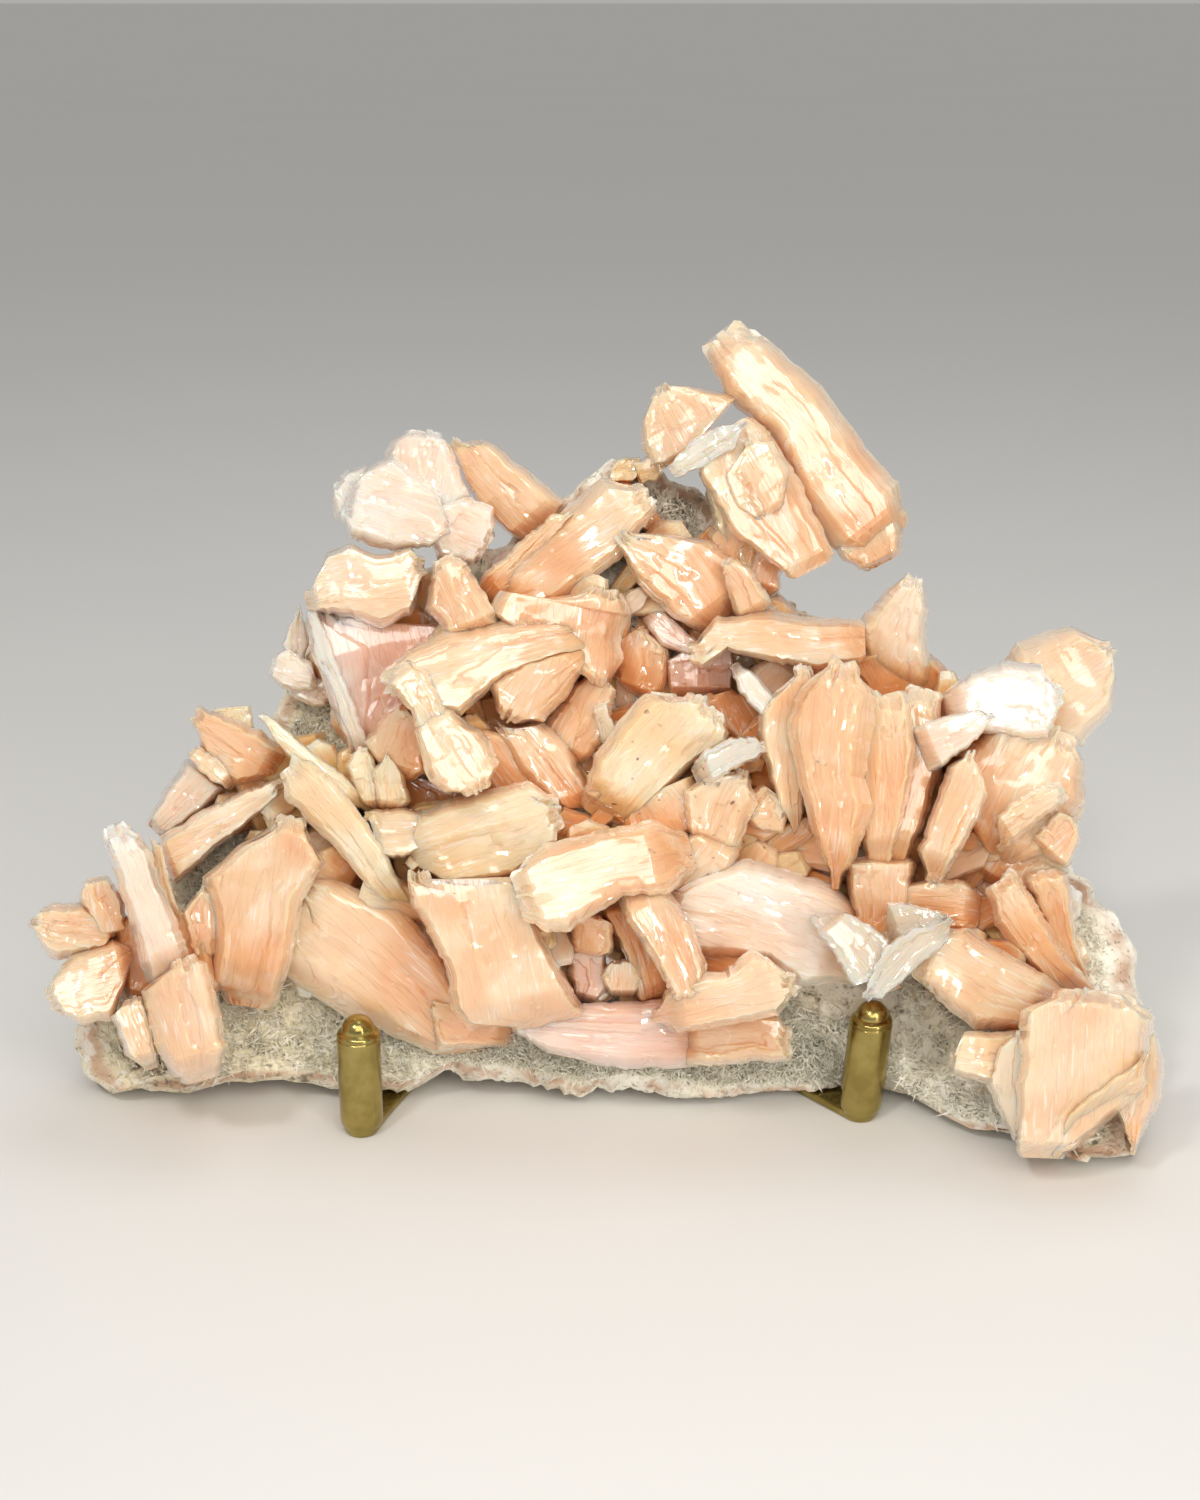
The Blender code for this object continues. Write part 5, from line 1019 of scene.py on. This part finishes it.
def rock_material(name, druse=False):
    """The slab's finish, mixed from cream, grey and brown by its zones and by noise, with painted shade in
    its pits and in the fine gaps between its grains.
    """
    material, build, shader = Nodes.material(name)
    ramp, times = build.ramp, build.times
    solid = build.solid()
    coarse, middle, fine = (build.noise(solid, scale, detail, 0.6)
                            for scale, detail in ((110.0, 1.0), (420.0, 2.0), (1500.0, 1.0)))
    crust = build.attribute("crust")
    # painted shade in the small pits of the rock, less of it on the crust
    pit_shade = times(ramp(middle, 0.28, 0.42, 0.25 if druse else 0.85, 0.0), ramp(crust, 0.1, 0.9, 1.0, 0.2))
    coats = [(ramp(coarse, 0.38, 0.62), (1.0, 0.97, 0.84)),
             (times(build.attribute("cream"), 0.70), (0.95, 0.86, 0.60)),
             (times(crust, 0.90), (0.95, 0.93, 0.82)),
             (times(build.attribute("layer"), 0.85), (0.52, 0.31, 0.20)),
             (times(build.attribute("spot"), 0.75), (0.22, 0.16, 0.10)),
             (ramp(middle, 0.50, 0.66, 0.0, 0.65), (0.86, 0.84, 0.76)),
             (pit_shade, (0.16, 0.14, 0.10)),
             # painted shade in the fine gaps between the grains
             (ramp(fine, 0.28, 0.40, 0.15 if druse else 0.55, 0.0), (0.16, 0.14, 0.10))]
    if druse:
        coats.append((ramp(fine, 0.38, 0.56, 0.3, 1.0), (1.0, 0.97, 0.85)))
    build.put(shader.inputs["Base Color"], build.coats((0.86, 0.80, 0.64), coats))
    set_values(shader, {"Roughness": 0.45 if druse else 0.85, "Subsurface Weight": 0.15 if druse else 0.05,
                        "Subsurface Radius": (1.0, 0.8, 0.5), "Subsurface Scale": 0.001})
    build.put(shader.inputs["Normal"], build.bump(build.plus(middle, times(fine, 0.6)), 0.8, 0.0006))
    return material


def brass_material():
    """Olive brass, polished and lightly scratched round and along, a little darker in patches."""
    material, build, shader = Nodes.material("brass")
    solid = build.solid()
    patches = build.noise(solid, 220.0, 3.0, 0.6)
    scratches = build.noise(build.scaled(solid, 900.0, 900.0, 60.0), 1.0, 3.0, 0.7)
    rings = build.noise(build.scaled(solid, 30.0, 30.0, 2600.0), 1.0, 2.0, 0.6)
    build.put(shader.inputs["Base Color"], build.coats((0.32, 0.25, 0.075), (
        (build.ramp(patches, 0.35, 0.65), (0.44, 0.35, 0.12)),
        (build.ramp(scratches, 0.60, 0.75, 0.0, 0.35), (0.60, 0.50, 0.22)))))
    set_values(shader, {"Metallic": 1.0})
    build.put(shader.inputs["Roughness"], build.ramp(patches, 0.3, 0.7, 0.16, 0.27))
    height = build.plus(scratches, build.times(rings, 0.6))
    build.put(shader.inputs["Normal"], build.bump(height, 0.12, 0.00006))
    return material


def plain_material(name, colour, roughness):
    """A stage finish with the faintest cloudiness."""
    material, build, shader = Nodes.material(name)
    darker = tuple(0.97 * value for value in colour)
    build.put(shader.inputs["Base Color"], build.mix(build.noise(build.solid(), 4.0), colour, darker))
    set_values(shader, {"Roughness": roughness})
    return material


# The slab
def make_slab(material):
    """The slab as a closed surface: rings round its centre, over the front, round the rim and over the back.

    The form is the solid's. Layered noise at 6, 2, 0.8 and 0.4 mm roughens it, and its rim and back are
    broken in ledges. Its zones of colour are spread round places in the picture."""
    turns = np.linspace(-math.pi, math.pi, SLAB_TURNS, endpoint=False)
    centre = in_plane(MATRIX_CENTRE)
    radius, edge_reach = slab_radius(turns)
    outwards = 0.01 + 0.975 * np.linspace(0, 1, SLAB_FRONT) ** 0.72
    inwards = 0.985 - 0.975 * np.linspace(0, 1, SLAB_BACK) ** 1.2
    shares = np.concatenate((outwards, np.full(SLAB_RIM, 1.0), inwards))[:, None]
    ring = np.arange(len(shares))[:, None]
    front = ring < SLAB_FRONT
    rim = (ring - SLAB_FRONT + 1) / (SLAB_RIM + 1.0)
    wobble = (noise_at(900, np.cos(turns) * 14, np.sin(turns) * 14)
              + 0.6 * noise_at(901, np.cos(turns) * 41, np.sin(turns) * 41))
    radius = radius + 0.8 * wobble - 0.5
    rounding = np.where((rim > 0) & (rim < 1), 0.9 * np.sqrt(np.clip(1 - (2 * rim - 1) ** 2, 0, 1)), 0.0)
    between = np.clip(rim, 0, 1)
    across = shares * radius * (1 - BACK_SHRINK * between) + rounding
    right, up = centre[0] + across * np.cos(turns), centre[1] + across * np.sin(turns)
    reach_front = slab_front(right, up, shares, edge_reach)
    edge = shares ** 4
    reach_back = ((1 - edge) * BACK_REACH + edge * np.minimum(edge_reach - 9.0, BACK_REACH + 8)
                  + 1.5 * shares * slab_lumps(up, right))
    reach = np.where(front, reach_front, (1 - between) * reach_front + between * reach_back)
    flat = in_space(right, up, reach)
    bumps = sum(height * noise(flat * scale, seed) for height, scale, seed in SLAB_BUMPS)
    ledges = np.floor(3 * noise(flat * np.array((0.06, 0.5, 0.9)), 905)) * 0.22
    reach = reach + np.where(rim < 0.6, 1, -1) * bumps * 0.8 + np.where(front, 0, ledges) - 0.5
    points = in_space(right + 0.5 * bumps, up + 0.5 * bumps, reach)
    points[..., 2] = np.maximum(points[..., 2], UNDERSIDE)
    points = np.concatenate((points.reshape(-1, 3), points[:1].mean(axis=1), points[-1:].mean(axis=1)))
    x, y = (np.append(place.ravel(), (middle, middle))
            for place, middle in zip(in_picture(right, up), MATRIX_CENTRE))
    outer = 0.42 * smooth((shares - 0.93) / 0.05) * front
    layered = np.append(np.repeat(np.maximum(between, outer).ravel(), SLAB_TURNS), (0, 1))
    slab = Mesh("slab", [material])
    slab.add(points, outward(points, tube(len(shares), SLAB_TURNS)), **slab_zones(x, y, layered, points))
    return slab.make(sharp=60.0)


def slab_zones(x, y, between, points):
    """How much of each zone of the slab's finish holds at points given by picture place and world place."""
    def round_zone(px, py, wide, high):
        return np.exp(-((x - px) / wide) ** 2 - ((y - py) / high) ** 2)
    ragged = noise(points * 0.35, 910)
    cream = smooth((430 - x) / 180 + 0.4 * ragged) + 0.7 * round_zone(314, 725, 40, 40)
    crust = (round_zone(1095, 935, 80, 110) + 0.6 * round_zone(760, 1070, 90, 30)
             + 0.5 * round_zone(440, 1075, 70, 20))
    spot = round_zone(685, 508, 42, 34) + 0.7 * round_zone(300, 735, 18, 16)
    layer = smooth((between - 0.12) / 0.3) * smooth((1.0 - between) / 0.2) * smooth(0.8 + ragged)
    return {key: np.clip(value, 0, 1) for key, value in
            {"cream": cream, "crust": crust, "spot": spot, "layer": layer}.items()}


def make_druse(material, chance):
    """Small needles on the bare strips of the slab's front: each a three-sided pyramid, closed below."""
    turns = chance.uniform(-math.pi, math.pi, NEEDLES)
    share = chance.uniform(0.30, 0.90, NEEDLES) ** 0.5
    centre = in_plane(MATRIX_CENTRE)
    radius, edge_reach = slab_radius(turns)
    right = centre[0] + share * (radius - 0.5) * np.cos(turns)
    up = centre[1] + share * (radius - 0.5) * np.sin(turns)
    foot = in_space(right, up, slab_front(right, up, share, edge_reach) - 0.4)
    keep = foot[:, 2] > UNDERSIDE + 0.4
    foot, right, up = foot[keep], right[keep], up[keep]
    count = len(foot)
    axis = -FORWARD + chance.normal(0, 0.45, (count, 3)) + 0.25 * UPWARD
    axis /= np.linalg.norm(axis, axis=1)[:, None]
    across = np.cross(axis, chance.normal(0, 1, (count, 3)))
    across /= np.linalg.norm(across, axis=1)[:, None]
    other = np.cross(axis, across)
    long = chance.uniform(0.8, 3.0, count)[:, None]
    wide = chance.uniform(0.14, 0.36, count)[:, None]
    corners = [foot + wide * (math.cos(turn) * across + math.sin(turn) * other)
               for turn in (0.0, 2 * math.pi / 3, 4 * math.pi / 3)]
    points = np.stack((*corners, foot + axis * long), axis=1).reshape(-1, 3)
    base = np.arange(count)[:, None] * 4
    faces = [base + np.array(face) for face in ((0, 2, 1), (0, 1, 3), (1, 2, 3), (2, 0, 3))]
    x, y = (np.repeat(place, 4) for place in in_picture(right, up))
    druse = Mesh("druse", [material])
    druse.add(points, faces, **slab_zones(x, y, np.zeros(len(x)), points))
    return druse.make(sharp=20.0)


# The stand
def add_tube(mesh, points, turned=None):
    """Adds a grid of rows that each close on themselves, closed at both ends, to the mesh."""
    poles = points[[0, -1]].mean(axis=1)
    rows, columns = points.shape[:2]
    points = np.concatenate((points.reshape(-1, 3), poles))
    if turned is not None:
        points = turned(points)
    mesh.add(points, outward(points, tube(rows, columns)))


def lathe(mesh, profile, spot, lean=0.0, turned=None):
    """A half outline of (radius, height) spun round an upright line through its foot, then leant sideways."""
    profile = np.array(profile, float)
    turns = np.linspace(0, 2 * math.pi, LATHE_SIDES, endpoint=False)
    height = profile[:, 1][:, None] + 0 * turns
    add_tube(mesh, np.stack((spot[0] + height * math.tan(math.radians(lean)) + profile[:, :1] * np.cos(turns),
                             spot[1] + profile[:, :1] * np.sin(turns), height), axis=-1), turned)


def rounded(corners, steps, size):
    """A profile whose inner corners are rounded by quadratic curves that start size before each."""
    corners = np.array(corners, float)
    points = [corners[0]]
    for before, here, after in zip(corners, corners[1:], corners[2:]):
        back, ahead = before - here, after - here
        reach = min(size, 0.45 * np.linalg.norm(back), 0.45 * np.linalg.norm(ahead))
        a = here + back / np.linalg.norm(back) * reach
        b = here + ahead / np.linalg.norm(ahead) * reach
        for share in np.linspace(0, 1, steps):
            points.append((1 - share) ** 2 * a + 2 * share * (1 - share) * here + share ** 2 * b)
    return np.array([*points, corners[-1]])


def post(low, radius, high, steps, size):
    """The profile of an upright cylinder with rounded edges."""
    return rounded(((AXIS_GAP, low), (radius, low), (radius, high), (AXIS_GAP, high)), steps, size)


def strip(mesh, path):
    """A flat strip with rounded edges along a path seen from above."""
    path = np.array(path, float)
    heading = np.gradient(path, axis=0)
    heading /= np.linalg.norm(heading, axis=1)[:, None]
    aside = np.stack((heading[:, 1], -heading[:, 0]), axis=1)
    half, low, high = ARM_WIDTH / 2, ARM_LIFT, ARM_THICKNESS
    corners = ((0, low), (half, low), (half, high), (-half, high), (-half, low), (0.001, low))
    section = rounded(corners, 5, 0.3)
    heights = np.broadcast_to(section[:, 1:], (len(path), len(section), 1))
    add_tube(mesh, np.concatenate((path[:, None] + aside[:, None] * section[:, :1], heights), axis=-1))


def bent_arm(spot, heading, hub):
    """The path of an arm from a peg to the hub: a quadratic curve that leaves in the given direction."""
    start, end = np.array(spot[:2]), hub
    angle = math.radians(heading)
    bend = start + ARM_REACH * np.array((math.cos(angle), math.sin(angle)))
    share = np.linspace(0.0, 1.0, 48)[:, None]
    return (1 - share) ** 2 * start + 2 * share * (1 - share) * bend + share ** 2 * end


def make_stand(material, rock):
    """The brass stand: pegs with a tapered foot, a groove and a dome, arms, hub, rear foot and back rest."""
    mesh = Mesh("stand", [material])
    left, right = table_place(LEFT_PEG), table_place(RIGHT_PEG)
    hub = np.array(HUB_PLACE) + SHIFT[:2]
    top, wide, rise = PEG_TOP
    dome = [(wide * math.cos(turn), top + rise * math.sin(turn)) for turn in np.linspace(0.1, 1.5, 18)]
    peg = np.concatenate((rounded(PEG_PROFILE, 4, 0.22), dome))
    lathe(mesh, peg, left)
    lathe(mesh, peg, right, RIGHT_PEG_LEAN)
    strip(mesh, bent_arm(left, LEFT_ARM_HEADING, hub))
    strip(mesh, bent_arm(right, RIGHT_ARM_HEADING, hub))
    strip(mesh, [hub + (0, step) for step in np.linspace(0, REAR_FOOT_LENGTH, 12)])
    lathe(mesh, post(0, HUB_RADIUS, HUB_THICKNESS, 6, 0.7), hub)
    lathe(mesh, post(0.4, POST_RADIUS, POST_HEIGHT, 6, 0.8), hub)
    height = POST_HEIGHT - PAD_DROP
    contact = back_distance(rock, hub, height) + PAD_GAP
    stem = (hub[1] - contact) / math.cos(LOOK_DOWN)
    profile = rounded(((AXIS_GAP, 0), (PAD_RADIUS, 0), (PAD_RADIUS, PAD_THICKNESS),
                       (PAD_STEM_RADIUS, PAD_THICKNESS), (PAD_STEM_RADIUS, stem), (AXIS_GAP, stem)), 5, 0.4)

    def to_slab(points):
        """The pad's axis turned from upright to the line of sight, with its face at the slab's back."""
        return (np.array((hub[0], contact, height)) + points[:, :1] * RIGHTWARD + points[:, 1:2] * UPWARD
                + points[:, 2:] * FORWARD)
    lathe(mesh, profile, (0.0, 0.0), turned=to_slab)
    return mesh


def back_distance(slab, hub, height):
    """How far behind the middle the rearmost point of the slab's back lies, round the pad's height."""
    tree = BVHTree.FromPolygons([slab.matrix_world @ vert.co for vert in slab.data.vertices],
                                [face.vertices for face in slab.data.polygons])
    steps = (-PAD_RADIUS, 0.0, PAD_RADIUS)
    starts = [Vector((hub[0] + across, 90.0, height + above)) * MM for across in steps for above in steps]
    hits = [tree.ray_cast(start, Vector((0, -1, 0)))[0].y / MM for start in starts]
    return max(hit - above * math.tan(LOOK_DOWN) for hit, above in zip(hits, steps * 3))


def main():
    """Makes the crystals, the slab with its druse and the stand."""
    chance = np.random.default_rng(UNDER_SEED)
    luck = random.Random(UNDER_SEED)
    grain = grain_group()
    finishes = list(FINISHES)
    materials = [stilbite(name, grain) for name in finishes]
    crystals = []
    for row in CRYSTALS:
        kind = finishes.index(FINISH_OF.get(row[0], "peach"))
        crystals.append((kind, *blade(row, luck, COLUMNS, STATIONS)))
    for row in undergrowth(luck):
        kind = finishes.index(luck.choice(("peach", "peach", "pale", "cream", "pearl", "deep")))
        crystals.append((kind, *blade(row, luck, SMALL_COLUMNS, SMALL_STATIONS, 1.0, 0.5)))
    meshes = share_out(crystals, materials)
    set_prominence(meshes)
    sprays = [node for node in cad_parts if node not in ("matrix", "brass_stand")]
    for mesh in meshes:
        piece = mesh.make()
        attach(piece, "root")
        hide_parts(*sprays)
    slab = make_slab(rock_material("rock"))
    druse = make_druse(rock_material("rock_druse", True), chance)
    for piece in (slab, druse):
        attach(piece, "root")
        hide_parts("matrix")
    stand = make_stand(brass_material(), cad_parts["matrix"]).make(sharp=40.0)
    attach(stand, "root")
    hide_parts("brass_stand")


def place_light(name, place, target, size, power, colour=(1.0, 1.0, 1.0), height=None):
    """An area light at a place in metres, turned towards a target: square, or upright with a height."""
    light = bpy.data.lights.new(name, "AREA")
    light.shape = "RECTANGLE"
    light.size, light.size_y, light.energy, light.color = size, height or size, power, colour
    lamp = bpy.data.objects.new(name, light)
    lamp.location = place
    lamp.rotation_euler = (Vector(target) - Vector(place)).to_track_quat("-Z", "Y").to_euler()
    bpy.context.scene.collection.objects.link(lamp)


def make_stage():
    """The floor, the lights, the camera of the picture and the pale surroundings."""
    scene = bpy.context.scene
    floor = bpy.data.meshes.new("floor")
    half = 30.0
    corners = [(-half, -half, 0), (half, -half, 0), (half, half, 0), (-half, half, 0)]
    floor.from_pydata(corners, [], [(0, 1, 2, 3)])
    ground = bpy.data.objects.new("floor", floor)
    floor.materials.append(plain_material("paper", (0.80, 0.79, 0.77), 0.75))
    scene.collection.objects.link(ground)
    world = bpy.data.worlds.new("surroundings")
    world.use_nodes = True
    set_values(world.node_tree.nodes["Background"], {"Color": (0.97, 0.96, 0.94, 1.0), "Strength": 0.44})
    scene.world = world
    target = (0.0, 0.0, 0.045)
    eye = (MIDDLE - VIEW_DISTANCE * FORWARD) * MM
    place_light("key", (-0.22, -0.38, 0.50), target, 0.07, 0.84, (1.0, 0.98, 0.95))
    place_light("front", tuple(eye + np.array((0.03, -0.03, 0.12))), target, 0.26, 0.66, (1.0, 0.97, 0.92))
    place_light("strip", (0.26, -0.42, 0.16), target, 0.03, 0.55, (1.0, 0.96, 0.88), 0.40)
    place_light("top", (0.10, 0.05, 0.60), target, 0.35, 0.55)
    data = bpy.data.cameras.new("picture")
    data.lens = LENS
    data.sensor_width = SENSOR
    data.clip_start = 0.01
    camera = bpy.data.objects.new("picture", data)
    camera.location = eye
    camera.rotation_euler = (math.pi / 2 - LOOK_DOWN, 0.0, 0.0)
    scene.collection.objects.link(camera)
    scene.camera = camera
    scene.view_settings.view_transform = "Standard"


main()
make_stage()
